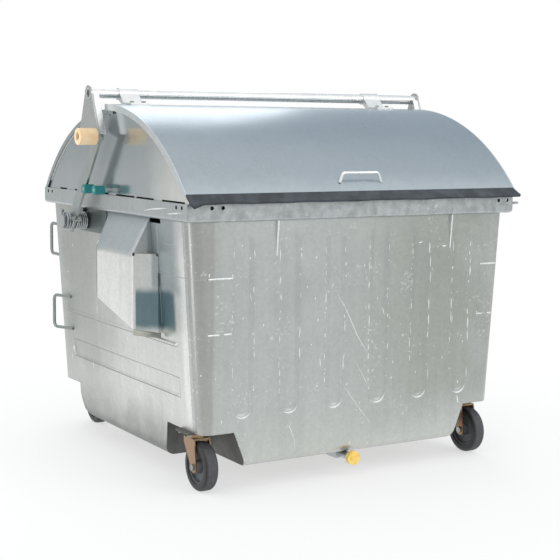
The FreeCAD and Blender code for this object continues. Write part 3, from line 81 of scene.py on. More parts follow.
# Bounds of a painted tone along an axis, which serves real stains and painted light and shade alike: its low
# end, its high end and the softness of both.
ALL = (-1.0, 1.0, 0.1)
FULL_HEIGHT = (0.0, 2.0, 0.1)

# Sockets of a node that mixes two colours.
SHARE, FIRST, SECOND, MIXED = 0, 6, 7, 2

# Real sizes in the zinc coat.
STREAK_WIDTH = 26 * MM
FLECK_SIZE = 13 * MM
HEAP_SIZE = 120 * MM
DENT_SIZE = 300 * MM
DENT_DEPTH = 6 * MM
CRYSTAL_DEPTH = 0.3 * MM

# Ends of the pressed band and of the crease along a side.
BAND_FRONT = -447 * MM
BAND_REAR = 457 * MM
CREASE_REAR = 487 * MM

# A bead is half a round of flat faces that sinks a little into its sheet.
BEAD_SIDES = 6
BEAD_SINK = 0.4 * MM

# Floor: its width, the distances from its middle over which it fades to white, and the distances from a place
# behind the object over which metal sees it darken.
FLOOR_WIDTH = 60
FLOOR_FADE = (0.9, 3.0)
FLOOR_SHADE_MIDDLE = (0.5, 0.9, 0)
FLOOR_SHADE = (1.6, 4.5)

# Camera fitted to the straight edges of the photograph: angles in degrees, lens and sensor in millimetres.
CAMERA_PLACE = (-2.4571, -4.1669, 1.1741)
CAMERA_YAW = 31.065
CAMERA_PITCH = 6.778
CAMERA_ROLL = 0.561
CAMERA_LENS = 84.40
CAMERA_SENSOR = 36

# Soft lamps: name, place, width, height and power.
LAMPS = (("side lamp", (-2.1, 0.05, 0.85), 0.2, 1.6, 5),
         ("front lamp", (2.6, -5.0, 3.0), 3.0, 3.0, 50),
         ("rear lamp", (1.5, 4.5, 4.0), 3.0, 3.0, 50))
LAMP_AIM = Vector((0, 0, 0.7))

# The sky that metal mirrors in front and behind: height above the horizon and colour there.
FRONT_SKY = ((0.0, "#BABDBC"), (0.2, "#DADDDD"), (0.42, "#FFFFFF"))
REAR_SKY = ((0.1, "#FFFFFF"), (0.26, "#B9C6D0"), (0.74, "#BECAD4"), (0.92, "#FFFFFF"))
REAR_SKY_DIRECTION = (0.8, 0.6, 0)

# Direction that the guide edge of the right lifting box faces, square to its length.
GUIDE_FACING = Vector((0.464, -0.886, 0))

# The locking pin from its root to its tip: distance and radius in millimetres.
PIN_PROFILE = ((0, 7), (4, 7), (10, 7), (12, 4.5), (32, 4.5), (37, 3.6), (38, 1.5))
PIN_SIDES = 16

# Springs: turns of each layer, steps in one turn and flat sides round the wire.
SPRING_TURNS = (("inner", 5.5), ("outer", 2.5))
COIL_STEPS = 36
WIRE_SIDES = 12

# Welds across the front, in millimetres from the middle: ends of the bright bead, ends of the stitches.
SEAM_ENDS = {"left": (562, 466), "right": (600, 510)}
STITCH_ENDS = {"left": ((562, 520), (506, 476)), "right": ((510, 536), (556, 580))}

# Welds in front of a lifting box: start above the foot of the box, heading and number of ripples.
BOX_WELDS = ((260 * MM, ALONG_Z, 24), (296 * MM, -ALONG_Y, 26), (30 * MM, ALONG_Z, 32))

# Pressed ribs in the front and in the rear.
RIBS = 6

# Broken zinc runs along the ribs and stray drops: lengths and gaps to draw from, in millimetres.
RUN_LENGTHS = (5, 8, 14, 24, 40)
RUN_GAPS = (4, 8, 16, 30, 50)
DROP_LENGTHS = (5, 7, 9, 12, 30)

# Long zinc runs on the front, given one by one: places across and up in millimetres, share of the run width.
LONG_RUNS = ((((-86, 633), (-57, 588), (-28, 536), (2, 476), (31, 433), (57, 387)), 0.7),
             (((-67, 335), (10, 234), (96, 130)), 0.4),
             (((-12, 402), (31, 334), (74, 259)), 0.35),
             (((-252, 212), (-257, 191), (-238, 149), (-232, 85)), 0.6),
             (((249, 776), (260, 777), (270, 782)), 0.9),
             (((348, 762), (359, 761), (370, 764)), 0.9))

# Zinc runs on the skirt of a side rail, given one by one: places along and up in millimetres.
RIM_RUNS = (((-285, 889), (-359, 900), (-420, 905), (-475, 909)),
            ((-467, 891), (-526, 896), (-576, 900)))
RIM_RUN_SHARE = 0.9


def linear(code):
    """Turn an sRGB hex colour into linear red, green, blue and alpha."""
    channels = [int(code[at:at + 2], 16) / 255 for at in (1, 3, 5)]
    straight = [channel / 12.92 if channel <= 0.04045 else ((channel + 0.055) / 1.055) ** 2.4
                for channel in channels]
    return straight + [1.0]


def colour_property(name, code, description):
    """A colour that the user can change."""
    return FloatVectorProperty(name=name, description=description, subtype="COLOR", size=4,
                               min=0, max=1, default=linear(code))


def size_property(name, millimetres, description):
    """A length that the user can change, stored in metres."""
    return FloatProperty(name=name, description=description, default=millimetres * MM, min=0,
                         unit="LENGTH", subtype="DISTANCE")


class ContainerSizes(PropertyGroup):
    """Sizes of the details that are added to the frame."""

    weld_width: size_property("Weld width", 6, "Width of a weld bead")
    weld_height: size_property("Weld height", 2, "Height of a weld bead above the sheet")
    weld_ripple: size_property("Weld ripple", 4, "Length of one ripple of a weld bead")
    seam_height: size_property("Seam height", 692, "Height of the butt weld round the tub")
    lower_seam_height: size_property("Lower seam height", 515, "Height of the short stitch welds")
    seam_corner: size_property("Seam corner", 60, "Radius in which the butt weld goes round a corner")
    rib_pitch: size_property("Rib pitch", 174, "Distance between the pressed ribs")
    rib_half_width: size_property("Rib half width", 38, "Half width of a pressed rib at its mouth")
    rib_foot: size_property("Rib foot", 236, "Height of the lower end of a rib")
    rib_head: size_property("Rib head", 838, "Height of the upper end of a rib")
    spring_radius: size_property("Spring radius", 28.5, "Radius of the coil at the middle of the wire")
    spring_wire: size_property("Spring wire", 3.4, "Radius of the spring wire")
    spring_fixed_leg: size_property("Fixed spring leg", 19, "Straight end of a spring on the tub side")
    spring_moving_leg: size_property("Moving spring leg", 27, "Straight end of a spring on the arm side")
    band_foot: size_property("Band foot", 297, "Height of the lower edge of the pressed band")
    band_head: size_property("Band head", 364, "Height of the upper edge of the pressed band")
    crease: size_property("Crease", 467, "Height of the crease in a side")
    spangle: size_property("Spangle", 9, "Size of the zinc crystals")
    guide_bend: size_property("Guide bend", 12, "How far a guide edge would bend out if it were bent square")
    guide_drop: size_property("Guide drop", 24, "How far a guide edge would drop if it were bent square")
    guide_lean: size_property("Guide lean", 8, "How far a guide edge leans out besides its bend")
    guide_sheet: size_property("Guide sheet", 3, "Thickness of the guide edge")
    lip_wall: size_property("Lip wall", 6, "Thickness of the rubber lip")
    lip_droop: size_property("Lip droop", 13, "How far the loose left end of the rubber lip hangs down")
    lip_slant: size_property("Lip slant", 24, "How far the right end of the rubber lip is cut back")
    run_width: size_property("Run width", 6, "Width of a frozen zinc run")
    run_height: size_property("Run height", 0.5, "Height of a frozen zinc run above the sheet")
    run_count: IntProperty(name="Zinc drops", description="Number of stray zinc drops on a panel",
                           default=60, min=0)


class ContainerColours(PropertyGroup):
    """Colours of the finishes."""

    tub_zinc: colour_property("Tub zinc", "#C3C7C5", "Hot-dip zinc on the front and the rear")
    # Paler than the tub zinc: painted sunlight on the sides.
    sunlit_side_zinc: colour_property("Side zinc", "#DCDDDA", "Hot-dip zinc on the sides")
    rim_zinc: colour_property("Rim zinc", "#BFC4C5", "Mottled zinc on the rim")
    dome_zinc: colour_property("Dome zinc", "#B7BEC0", "Smooth zinc on the dome")
    # Its blue-grey is partly the zinc and partly a painted sky reflection.
    lid_zinc_and_sky: colour_property("Lid zinc", "#A8B2B9", "Smooth zinc on the lid")
    arm_zinc: colour_property("Arm zinc", "#B2B9B7", "Plain zinc on the arms")
    dark_zinc: colour_property("Dark zinc", "#969C9C", "Grey zinc where the coat is thin")
    # Also used for painted highlights: the gusset edges and the glints in the rib crescents.
    bright_zinc: colour_property("Bright zinc", "#F2F4F3", "Fresh runs and splashes of zinc")
    lip_rubber: colour_property("Lip rubber", "#32383E", "Rubber lip under the lid")
    tyre_rubber: colour_property("Tyre rubber", "#19191A", "Solid tyres")
    # Dust on the treads, and a painted sheen on them.
    tread_dust_and_sheen: colour_property("Tread dust", "#56565A", "Dust on the treads")
    roller_nylon: colour_property("Roller nylon", "#FBE0B6", "Cast nylon of the arm rollers")
    stop_plastic: colour_property("Stop plastic", "#22807E", "Moulded stop sleeves")
    cap_plastic: colour_property("Cap plastic", "#FFDB78", "Screw cap of the drain")
    yellow_zinc: colour_property("Yellow zinc", "#A08C6A", "Yellow passivated zinc on the forks")
    wheel_grey: colour_property("Wheel grey", "#6E7072", "Moulded wheel centres")


def add(tree, kind, sockets=None, **settings):
    """Add a node with its settings; each socket gets a value or a link."""
    made = tree.nodes.new("ShaderNode" + kind)
    for key, value in settings.items():
        setattr(made, key, value)
    for key, value in (sockets or {}).items():
        if isinstance(value, bpy.types.NodeSocket):
            tree.links.new(value, made.inputs[key])
        else:
            made.inputs[key].default_value = value
    return made


def blank(name, **sockets):
    """A material with its shader, and the place on the object in metres."""
    material = bpy.data.materials.new(name)
    material.use_nodes = True
    tree = material.node_tree
    tree.nodes.clear()
    values = {key.replace("_", " "): value for key, value in sockets.items()}
    shader = add(tree, "BsdfPrincipled", values)
    add(tree, "OutputMaterial", {"Surface": shader.outputs["BSDF"]})
    place = add(tree, "TexCoord").outputs["Object"]
    return material, tree, shader, place


def finish_sockets(tree, shader, colour, roughness, normal):
    """Link the three patterns that every finish here has."""
    tree.links.new(colour, shader.inputs["Base Color"])
    tree.links.new(roughness, shader.inputs["Roughness"])
    tree.links.new(normal, shader.inputs["Normal"])


def stain_and_light(code, x=ALL, y=ALL, z=ALL):
    """A tone that fills a box of the object, for real stains and for painted light and shade alike."""
    return linear(code), (x, y, z)


def stain_and_light_mask(tree, place, wobble, bounds):
    """One inside a box of the object and zero outside it, with soft wandering ends along each axis."""
    axes = add(tree, "SeparateXYZ", {"Vector": place})
    mask = None
    for axis, (low, high, soft) in zip("XYZ", bounds):
        shifted = add(tree, "Math", {0: wobble, 1: soft, 2: axes.outputs[axis]}, operation="MULTIPLY_ADD")
        enter = add(tree, "MapRange", {"Value": shifted.outputs["Value"], "From Min": low,
                                       "From Max": low + soft}, interpolation_type="SMOOTHSTEP")
        leave = add(tree, "MapRange", {"Value": shifted.outputs["Value"], "From Min": high - soft,
                                       "From Max": high, "To Min": 1.0, "To Max": 0.0},
                    interpolation_type="SMOOTHSTEP")
        both = add(tree, "Math", {0: enter.outputs["Result"], 1: leave.outputs["Result"]},
                   operation="MULTIPLY")
        if mask:
            both = add(tree, "Math", {0: both.outputs["Value"], 1: mask}, operation="MULTIPLY")
        mask = both.outputs["Value"]
    return mask


def white_flecks(tree, place, colour, splash):
    """Flecks of fresh zinc, which lie in heaps, over a colour."""
    bright = bpy.context.scene.container_colours.bright_zinc
    flecks = add(tree, "TexNoise", {"Vector": place, "Scale": 1 / FLECK_SIZE, "Detail": 1.5,
                                    "Roughness": 0.6})
    heaps = add(tree, "TexNoise", {"Vector": place, "Scale": 1 / HEAP_SIZE, "Detail": 3.0})
    both = add(tree, "Math", {0: heaps.outputs["Fac"], 1: 0.6, 2: flecks.outputs["Fac"]},
               operation="MULTIPLY_ADD")
    white = add(tree, "MapRange", {"Value": both.outputs["Value"], "From Min": 0.97, "From Max": 1.17,
                                   "To Max": splash})
    return add(tree, "Mix", {SHARE: white.outputs["Result"], FIRST: colour, SECOND: bright},
               data_type="RGBA").outputs[MIXED]


def galvanised_sheet(name, zinc, clouds, rough, patch=160 * MM, drip=420 * MM, spangle=0.3, splash=0.0,
                     metal=0.85, edge=1.5 * MM, stains_and_light=()):
    """Hot-dip galvanised sheet: a cloudy coat, faint zinc crystals, white flecks and soft dents.

    The eye sees a smooth pale metal with slow clouds, whose crystals only show from near. Clouds is the depth
    of the clouds and patch their size, rough the roughness at both ends of the clouds, drip the length of the
    streaks that ran down in the bath, spangle the depth of the crystals, splash that of the white flecks,
    metal the share of bare metal, and edge the radius to which edges look rounded.
    """
    scene = bpy.context.scene
    material, tree, shader, place = blank(name, Metallic=metal)
    cloud = add(tree, "TexNoise", {"Vector": place, "Scale": 1 / patch, "Detail": 5.0, "Roughness": 0.6})
    stretched = add(tree, "Mapping", {"Vector": place,
                                      "Scale": (1 / STREAK_WIDTH, 1 / STREAK_WIDTH, 1 / drip)})
    streak = add(tree, "TexNoise", {"Vector": stretched.outputs["Vector"], "Scale": 1.0, "Detail": 3.0})
    mottle = add(tree, "Math", {0: cloud.outputs["Fac"], 1: streak.outputs["Fac"]}, operation="ADD")
    thin = add(tree, "MapRange", {"Value": mottle.outputs["Value"], "From Min": 0.76, "From Max": 1.16,
                                  "To Min": clouds, "To Max": 0.0})
    colour = zinc
    # Tones laid over the zinc: painted light and shade, and real stains.
    for tone, bounds in stains_and_light:
        mask = stain_and_light_mask(tree, place, cloud.outputs["Fac"], bounds)
        toned = add(tree, "Mix", {SHARE: mask, FIRST: colour, SECOND: tone}, data_type="RGBA")
        colour = toned.outputs[MIXED]
    dark = scene.container_colours.dark_zinc
    clouded = add(tree, "Mix", {SHARE: thin.outputs["Result"], FIRST: colour, SECOND: dark}, data_type="RGBA")
    crystals = add(tree, "TexVoronoi", {"Vector": place, "Scale": 1 / scene.container_sizes.spangle})
    shade = add(tree, "SeparateColor", {"Color": crystals.outputs["Color"]})
    tone = add(tree, "MapRange", {"Value": shade.outputs["Red"], "To Min": 1.0 - spangle * 0.16,
                                  "To Max": 1.0 + spangle * 0.1})
    colour = add(tree, "Mix", {SHARE: 1.0, FIRST: clouded.outputs[MIXED], SECOND: tone.outputs["Result"]},
                 data_type="RGBA", blend_type="MULTIPLY").outputs[MIXED]
    if splash:
        colour = white_flecks(tree, place, colour, splash)
    dull = add(tree, "MapRange", {"Value": cloud.outputs["Fac"], "From Min": 0.3, "From Max": 0.7,
                                  "To Min": rough[0], "To Max": rough[1]})
    dents = add(tree, "TexNoise", {"Vector": place, "Scale": 1 / DENT_SIZE, "Detail": 1.0})
    edges = add(tree, "Bevel", {"Radius": edge}, samples=4)
    dented = add(tree, "Bump", {"Strength": 0.3, "Distance": DENT_DEPTH, "Height": dents.outputs["Fac"],
                                "Normal": edges.outputs["Normal"]})
    grained = add(tree, "Bump", {"Strength": spangle * 0.1, "Distance": CRYSTAL_DEPTH,
                                 "Height": shade.outputs["Blue"], "Normal": dented.outputs["Normal"]})
    finish_sockets(tree, shader, colour, dull.outputs["Result"], grained.outputs["Normal"])
    return material


def worn_finish(name, colour, worn, grain, rough, bump, patch=40 * MM, **sockets):
    """A moulded, rubbed or plated finish with a fine grain and worn places.

    Colour and worn are the tones of whole and worn places, and patch is the size of these. The grain is drawn
    a few times coarser than the real one, which would not show in the render.
    """
    material, tree, shader, place = blank(name, **sockets)
    cloud = add(tree, "TexNoise", {"Vector": place, "Scale": 1 / patch, "Detail": 4.0})
    mask = add(tree, "MapRange", {"Value": cloud.outputs["Fac"], "From Min": 0.4, "From Max": 0.7})
    coloured = add(tree, "Mix", {SHARE: mask.outputs["Result"], FIRST: colour, SECOND: worn},
                   data_type="RGBA")
    fine = add(tree, "TexNoise", {"Vector": place, "Scale": 1 / grain, "Detail": 3.0})
    dull = add(tree, "MapRange", {"Value": fine.outputs["Fac"], "From Min": 0.3, "From Max": 0.7,
                                  "To Min": rough[0], "To Max": rough[1]})
    edges = add(tree, "Bevel", {"Radius": 1 * MM}, samples=4)
    surface = add(tree, "Bump", {"Strength": bump, "Distance": 0.4 * MM, "Height": fine.outputs["Fac"],
                                 "Normal": edges.outputs["Normal"]})
    finish_sockets(tree, shader, coloured.outputs[MIXED], dull.outputs["Result"], surface.outputs["Normal"])
    return material


def tub_sheet(colours):
    """Zinc on the front, rear and floor: matt and pale, with white flecks that froze on it.

    The foot is paler with a painted floor reflection, its lower edge dark with painted shade under the round
    bottom edge, the right part darker and warmer with a painted dark reflection, and the left corner darker
    with a painted dark reflection.
    """
    # Painted light and shade: a pale foot for the floor's reflection, a dark lower edge for the shade under
    # the round bottom edge, and a darker right part and left corner for dark reflections.
    stains_and_light = (stain_and_light("#CCCFC9", z=(0.0, 0.4, 0.25)),
              stain_and_light("#74756E", z=(0.0, 0.085, 0.006)),
              stain_and_light("#B2B5AF", x=(0.1, 1.0, 0.4), z=(0.2, 2.0, 0.2)),
              stain_and_light("#B3B4B0", x=(-1.0, -0.528, 0.014), y=(-1.0, -0.53, 0.01)))
    return galvanised_sheet("hot-dip galvanised tub sheet", colours.tub_zinc, clouds=0.16, rough=(0.34, 0.42),
                            splash=0.6, edge=5 * MM, stains_and_light=stains_and_light)


def panel_shade(sizes):
    """Tones of a side panel, all painted shade: a grey rear, a foot that darkens downwards, a dark lower
    edge, and dark lines along and at the front end of the pressings.
    """
    # Painted shade: the grey rear, the darkening foot and lower edge, and the line at the front end of the
    # pressed band.
    tones = [stain_and_light("#B8BBB6", y=(0.1, 1.0, 0.4), z=(0.2, 1.4, 0.3)),
             stain_and_light("#8D908D", z=(0.0, 0.36, 0.2)),
             stain_and_light("#656866", z=(0.0, 0.15, 0.05)),
             stain_and_light("#A9ACAA", y=(BAND_FRONT - 2.5 * MM, BAND_FRONT + 1.5 * MM, 1.2 * MM),
                   z=(sizes.band_foot, sizes.band_head, 4 * MM))]
    # Painted shade along the edges of the pressed band and the crease.
    for height, code, rear in ((sizes.band_foot, "#8F928F", BAND_REAR),
                               (sizes.band_head - 3 * MM, "#7C7F7D", BAND_REAR),
                               (sizes.crease - 4 * MM, "#8F928F", CREASE_REAR)):
        tones.append(stain_and_light(code, y=(BAND_FRONT, rear, 20 * MM),
                           z=(height - 1.6 * MM, height + 3 * MM, 2 * MM)))
    return tones


def lifting_box_light_and_shade():
    """Painted light and shade on and round the left lifting box: a sky reflection on its slope, a highlight
    on the corner in front of it, shade on the wall beside it, sunlight on its outer face, a highlight with a
    shadow line on its rear strip, and a dark reflection on its front and the wall.
    """
    low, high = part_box("lifting_box_left")
    slope_foot = high.z - 120 * MM
    outer_face = (-1.0, low.x + 3 * MM, 1 * MM)
    outer_edge = (-1.0, low.x + 12 * MM, 1 * MM)
    # Painted sky reflection: the sloping top of the box in blue-grey.
    sky_reflection_slope = stain_and_light("#B0B7BB", y=(low.y + 0.05, high.y + 0.1, 0.05), z=(slope_foot, 1.0, 0.02))
    # Painted highlight on the corner in front of the box.
    painted_highlight_corner = stain_and_light("#F0F1EF", y=(-0.56, -0.455, 0.03), z=(0.25, 0.9, 0.1))
    shaded_wall = stain_and_light("#A9B1B3", x=(-0.632, 0.0, 0.012), y=(low.y - 0.13, low.y + 0.15, 0.08),
                        z=(low.z + 0.14, low.z + 0.45, 0.05))
    # Painted sunlight on the outer face of the box.
    face = stain_and_light("#F3F4F1", x=outer_face, z=(low.z, slope_foot, 0.01))
    # Painted highlight on the rear strip of the outer face, with a painted shadow line beside it.
    painted_highlight_strip = stain_and_light("#FFFFFF", x=outer_edge, y=(high.y - 32 * MM, 1.0, 4 * MM))
    painted_shadow_line = stain_and_light("#8F9290", x=outer_edge, y=(high.y - 38 * MM, high.y - 31 * MM, 1.5 * MM))
    # Painted dark reflection on the front of the box and the wall beside it.
    painted_reflection_patch = stain_and_light("#6C848B", x=(low.x + 8 * MM, -0.5, 4 * MM), y=(low.y - 0.1, low.y + 0.09, 0.025),
                       z=(low.z + 14 * MM, low.z + 0.17, 0.03))
    return [sky_reflection_slope, painted_highlight_corner, shaded_wall, face, painted_highlight_strip, painted_shadow_line, painted_reflection_patch]


def side_sheet(colours, sizes):
    """Zinc on the sides and lifting boxes: the brightest sheet, almost white with painted sunlight, with dull
    patches.
    """
    return galvanised_sheet("hot-dip galvanised side sheet", colours.sunlit_side_zinc, clouds=0.14,
                            rough=(0.32, 0.42), edge=3 * MM,
                            stains_and_light=panel_shade(sizes) + lifting_box_light_and_shade())


def shaded_housing_sheet():
    """Zinc round the casters: dull, and dark with painted shade in the recesses under the tub."""
    return galvanised_sheet("dull galvanised housing", linear("#5E5D59"), clouds=0.2, rough=(0.5, 0.6),
                            metal=0.6)


def guide_sheet():
    """Zinc on the guide edges, rubbed dull and a little yellow."""
    return galvanised_sheet("dull galvanised guide edge", linear("#B5B6AC"), clouds=0.15, rough=(0.5, 0.6),
                            metal=0.6)


def rail_sheet(colours):
    """Zinc on the side rails and small pieces: even and smooth, with hardly a cloud."""
    return galvanised_sheet("hot-dip galvanised smooth rail", colours.rim_zinc, clouds=0.15, rough=(0.3, 0.4))


def rim_sheet(colours):
    """Zinc on the front and rear rail: small dark mottles and white flecks, close together."""
    return galvanised_sheet("hot-dip galvanised rim sheet", colours.rim_zinc, clouds=0.6, rough=(0.3, 0.42),
                            patch=24 * MM, drip=40 * MM, splash=0.6)


def dome_sheet(colours):
    """Zinc on the dome: so smooth that it mirrors arms and rollers, and lighter and warmer towards the front
    with painted light.
    """
    # Painted light: the dome is lighter and warmer towards the front.
    ahead = stain_and_light("#E6E7E2", y=(-1.0, -0.1, 0.3), z=(0.0, 1.5, 0.1))
    return galvanised_sheet("hot-dip galvanised dome sheet", colours.dome_zinc, clouds=0.1,
                            rough=(0.12, 0.18), spangle=0.0, stains_and_light=(ahead,))


def round_bar(colours):
    """Zinc on the grab handles: grey, since hands have rubbed it."""
    return galvanised_sheet("hot-dip galvanised round bar", colours.dark_zinc, clouds=0.2, rough=(0.28, 0.36))


def shaded_bracket_plate():
    """Zinc on the hinge brackets: cloudy, and dark with painted shade and a dark reflection behind the
    springs.
    """
    return galvanised_sheet("hot-dip galvanised bracket plate", linear("#7F8887"), clouds=0.3,
                            rough=(0.3, 0.4))


def gusset_highlight(colours):
    """Painted highlight on the narrow edges of the gussets, which shows as two white lines."""
    return galvanised_sheet("bright zinc edge", colours.bright_zinc, clouds=0.1, rough=(0.3, 0.4), metal=0.5)


def lid_sheet(colours):
    """Zinc on the lid: smooth, blue-grey partly with a painted sky reflection, paler along its low edge, with
    light folded ends.
    """
    low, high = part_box("lid_panel")
    stains_and_light = (stain_and_light("#BBC5CB", z=(0.0, low.z + 0.12, 0.09)),
              stain_and_light("#DCE1E3", x=(-1.0, low.x + 3 * MM, 1 * MM), z=FULL_HEIGHT),
              stain_and_light("#DCE1E3", x=(high.x - 3 * MM, 1.0, 1 * MM), z=FULL_HEIGHT))
    return galvanised_sheet("hot-dip galvanised lid sheet", colours.lid_zinc_and_sky, clouds=0.12, rough=(0.26, 0.32),
                            spangle=0.15, stains_and_light=stains_and_light)


def flat_bar(colours):
    """Zinc on the lower arms: plain, with small clouds."""
    return galvanised_sheet("hot-dip galvanised flat bar", colours.arm_zinc, clouds=0.2, rough=(0.28, 0.36),
                            patch=60 * MM)


def web_plate():
    """Zinc on the upper arms: a light grey web, with a painted highlight that makes the flange towards the
    lid white.
    """
    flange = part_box("arm_upper_right")[1].x - 8 * MM
    # Painted highlight on the flanges towards the lid.
    stains_and_light = (stain_and_light("#FFFFFF", x=(-flange, 0.0, 1 * MM), z=FULL_HEIGHT),
              stain_and_light("#FFFFFF", x=(0.0, flange, 1 * MM), z=FULL_HEIGHT))
    return galvanised_sheet("bright galvanised web plate", linear("#C4C6C5"), clouds=0.15, rough=(0.26, 0.34),
                            patch=60 * MM, stains_and_light=stains_and_light)


def bright_pipe(colours):
    """Zinc on the cross tube, its clamps and the lid handle: fresh and nearly white."""
    return galvanised_sheet("bright galvanised pipe", colours.bright_zinc, clouds=0.15, rough=(0.24, 0.3),
                            patch=60 * MM)


def weld_bead(colours):
    """Zinc on the thick welds of the front, which stand out bright and uneven."""
    return galvanised_sheet("galvanised weld bead", colours.bright_zinc, clouds=0.3, rough=(0.25, 0.4),
                            patch=20 * MM, metal=0.6)


def fine_weld():
    """Zinc on the fine welds, which differ little from their sheet."""
    return galvanised_sheet("galvanised fine weld", linear("#BFC3C2"), clouds=0.2, rough=(0.3, 0.4))


def fresh_runs(colours):
    """Zinc that ran and froze after the bath: white and hardly metallic."""
    return galvanised_sheet("fresh zinc runs", colours.bright_zinc, clouds=0.25, rough=(0.3, 0.42),
                            patch=30 * MM, metal=0.35)


def extruded_rubber(colours):
    """Lip of extruded rubber: matt slate grey, paler where it is rubbed."""
    return worn_finish("extruded lip rubber", colours.lip_rubber, linear("#464D53"), grain=2 * MM,
                       rough=(0.5, 0.65), bump=0.2)


def cast_nylon(colours):
    """Rollers of cast nylon: satin cream that has yellowed in places."""
    return worn_finish("cast nylon", colours.roller_nylon, linear("#EFC793"), grain=1.5 * MM,
                       rough=(0.4, 0.55), bump=0.15)


def plated_bolts():
    """Bolts with electroplated zinc: small bright grey metal with dull spots."""
    return worn_finish("zinc plated bolts", linear("#B4B5B2"), linear("#8A8A86"), grain=1 * MM,
                       rough=(0.25, 0.4), bump=0.1, Metallic=1.0)


def spring_wire():
    """Spring steel wire with a thin zinc coat: each turn has one sharp light line."""
    return worn_finish("zinc coated spring wire", linear("#B9BDBF"), linear("#8D9294"), grain=2 * MM,
                       rough=(0.25, 0.4), bump=0.1, Metallic=1.0)


def moulded_stop(colours):
    """Stop sleeves of moulded polypropylene: satin teal with soft lights."""
    return worn_finish("moulded polypropylene", colours.stop_plastic, linear("#1F7B80"), grain=2 * MM,
                       rough=(0.35, 0.5), bump=0.1)


def passivated_zinc(colours):
    """Forks of pressed steel with yellow passivated zinc: tan metal that turns pink in places."""
    return worn_finish("yellow passivated zinc", colours.yellow_zinc, linear("#A88472"), grain=2 * MM,
                       rough=(0.3, 0.42), bump=0.1, patch=60 * MM, Metallic=0.8)


def moulded_wheel(colours):
    """Wheel centres of moulded polyamide: matt grey, darker with dirt."""
    return worn_finish("moulded wheel centre", colours.wheel_grey, linear("#505254"), grain=2 * MM,
                       rough=(0.4, 0.55), bump=0.2)


def moulded_cap(colours):
    """Drain cap of moulded plastic: satin yellow with darker rubbed places."""
    return worn_finish("moulded cap plastic", colours.cap_plastic, linear("#DDAE30"), grain=2 * MM,
                       rough=(0.35, 0.5), bump=0.1)


def solid_tyre(colours):
    """Tyres of solid rubber: black side walls and a tread that is grey with dust and wear, and with a painted
    sheen.

    The tread is told from the side walls by its direction, since it faces away from the axle.
    """
    material, tree, shader, place = blank("solid tyre rubber")
    facing = add(tree, "SeparateXYZ", {"Vector": add(tree, "TexCoord").outputs["Normal"]})
    sideways = add(tree, "Math", {0: facing.outputs["X"]}, operation="ABSOLUTE")
    tread = add(tree, "MapRange", {"Value": sideways.outputs["Value"], "From Min": 0.25, "From Max": 0.75,
                                   "To Min": 1.0, "To Max": 0.12})
    scuffs = add(tree, "TexNoise", {"Vector": place, "Scale": 1 / (14 * MM), "Detail": 5.0,
                                    "Roughness": 0.65})
    worn = add(tree, "MapRange", {"Value": scuffs.outputs["Fac"], "From Min": 0.3, "From Max": 0.7,
                                  "To Min": 0.55, "To Max": 1.0})
    dusty = add(tree, "Math", {0: tread.outputs["Result"], 1: worn.outputs["Result"]}, operation="MULTIPLY")
    coloured = add(tree, "Mix", {SHARE: dusty.outputs["Value"], FIRST: colours.tyre_rubber,
                                 SECOND: colours.tread_dust_and_sheen}, data_type="RGBA")
    dull = add(tree, "MapRange", {"Value": dusty.outputs["Value"], "To Min": 0.42, "To Max": 0.8})
    edges = add(tree, "Bevel", {"Radius": 2 * MM}, samples=4)
    surface = add(tree, "Bump", {"Strength": 0.25, "Distance": 0.5 * MM, "Height": scuffs.outputs["Fac"],
                                 "Normal": edges.outputs["Normal"]})
    finish_sockets(tree, shader, coloured.outputs[MIXED], dull.outputs["Result"], surface.outputs["Normal"])
    return material


def coat(material, *names):
    """Give CAD nodes one finish."""
    for name in names:
        mesh = NODES[name].data
        mesh.materials.clear()
        mesh.materials.append(material)


def new_piece(name, mesh_maker, material, body):
    """A mesh piece that rides on a body of the frame."""
    shape = bmesh.new()
    mesh_maker(shape)
    bmesh.ops.recalc_face_normals(shape, faces=shape.faces)
    mesh = bpy.data.meshes.new(name)
    shape.to_mesh(mesh)
    shape.free()
    for face in mesh.polygons:
        face.use_smooth = True
    mesh.materials.append(material)
    piece = bpy.data.objects.new(name, mesh)
    bpy.context.scene.collection.objects.link(piece)
    if body:
        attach(piece, body)
    return piece


def skin(shape, rings):
    """Join closed rings of vertices into a closed body."""
    count = len(rings[0])
    for ring, following in zip(rings, rings[1:]):
        for side in range(count):
            other = (side + 1) % count
            shape.faces.new((ring[side], ring[other], following[other], following[side]))
    shape.faces.new(rings[0][::-1])
    shape.faces.new(rings[-1])


def tube(shape, points, radii, sides):
    """A closed tube through points, with one radius at each point."""
    rings = []
    across = None
    for index, point in enumerate(points):
        heading = (points[min(index + 1, len(points) - 1)] - points[max(index - 1, 0)]).normalized()
        if across is None:
            across = heading.orthogonal().normalized()
        across = (across - heading * across.dot(heading)).normalized()
        up = heading.cross(across)
        ring = []
        for side in range(sides):
            angle = 2 * math.pi * side / sides
            swing = across * math.cos(angle) + up * math.sin(angle)
            ring.append(shape.verts.new(point + swing * radii[index]))
        rings.append(ring)
    skin(shape, rings)


def bead(shape, path, widths, height):
    """A low round bead along points of a sheet, each with the sheet's normal there."""
    rings = []
    for index, (point, normal) in enumerate(path):
        before = path[max(index - 1, 0)][0]
        after = path[min(index + 1, len(path) - 1)][0]
        across = (after - before).cross(normal).normalized()
        rise = height * widths[index] / max(widths)
        ring = []
        for side in range(BEAD_SIDES + 1):
            angle = math.pi * side / BEAD_SIDES
            lift = math.sin(angle) * (rise + BEAD_SINK) - BEAD_SINK
            reach = math.cos(angle) * widths[index] / 2
            ring.append(shape.verts.new(point + across * reach + normal * lift))
        rings.append(ring)
    skin(shape, rings)


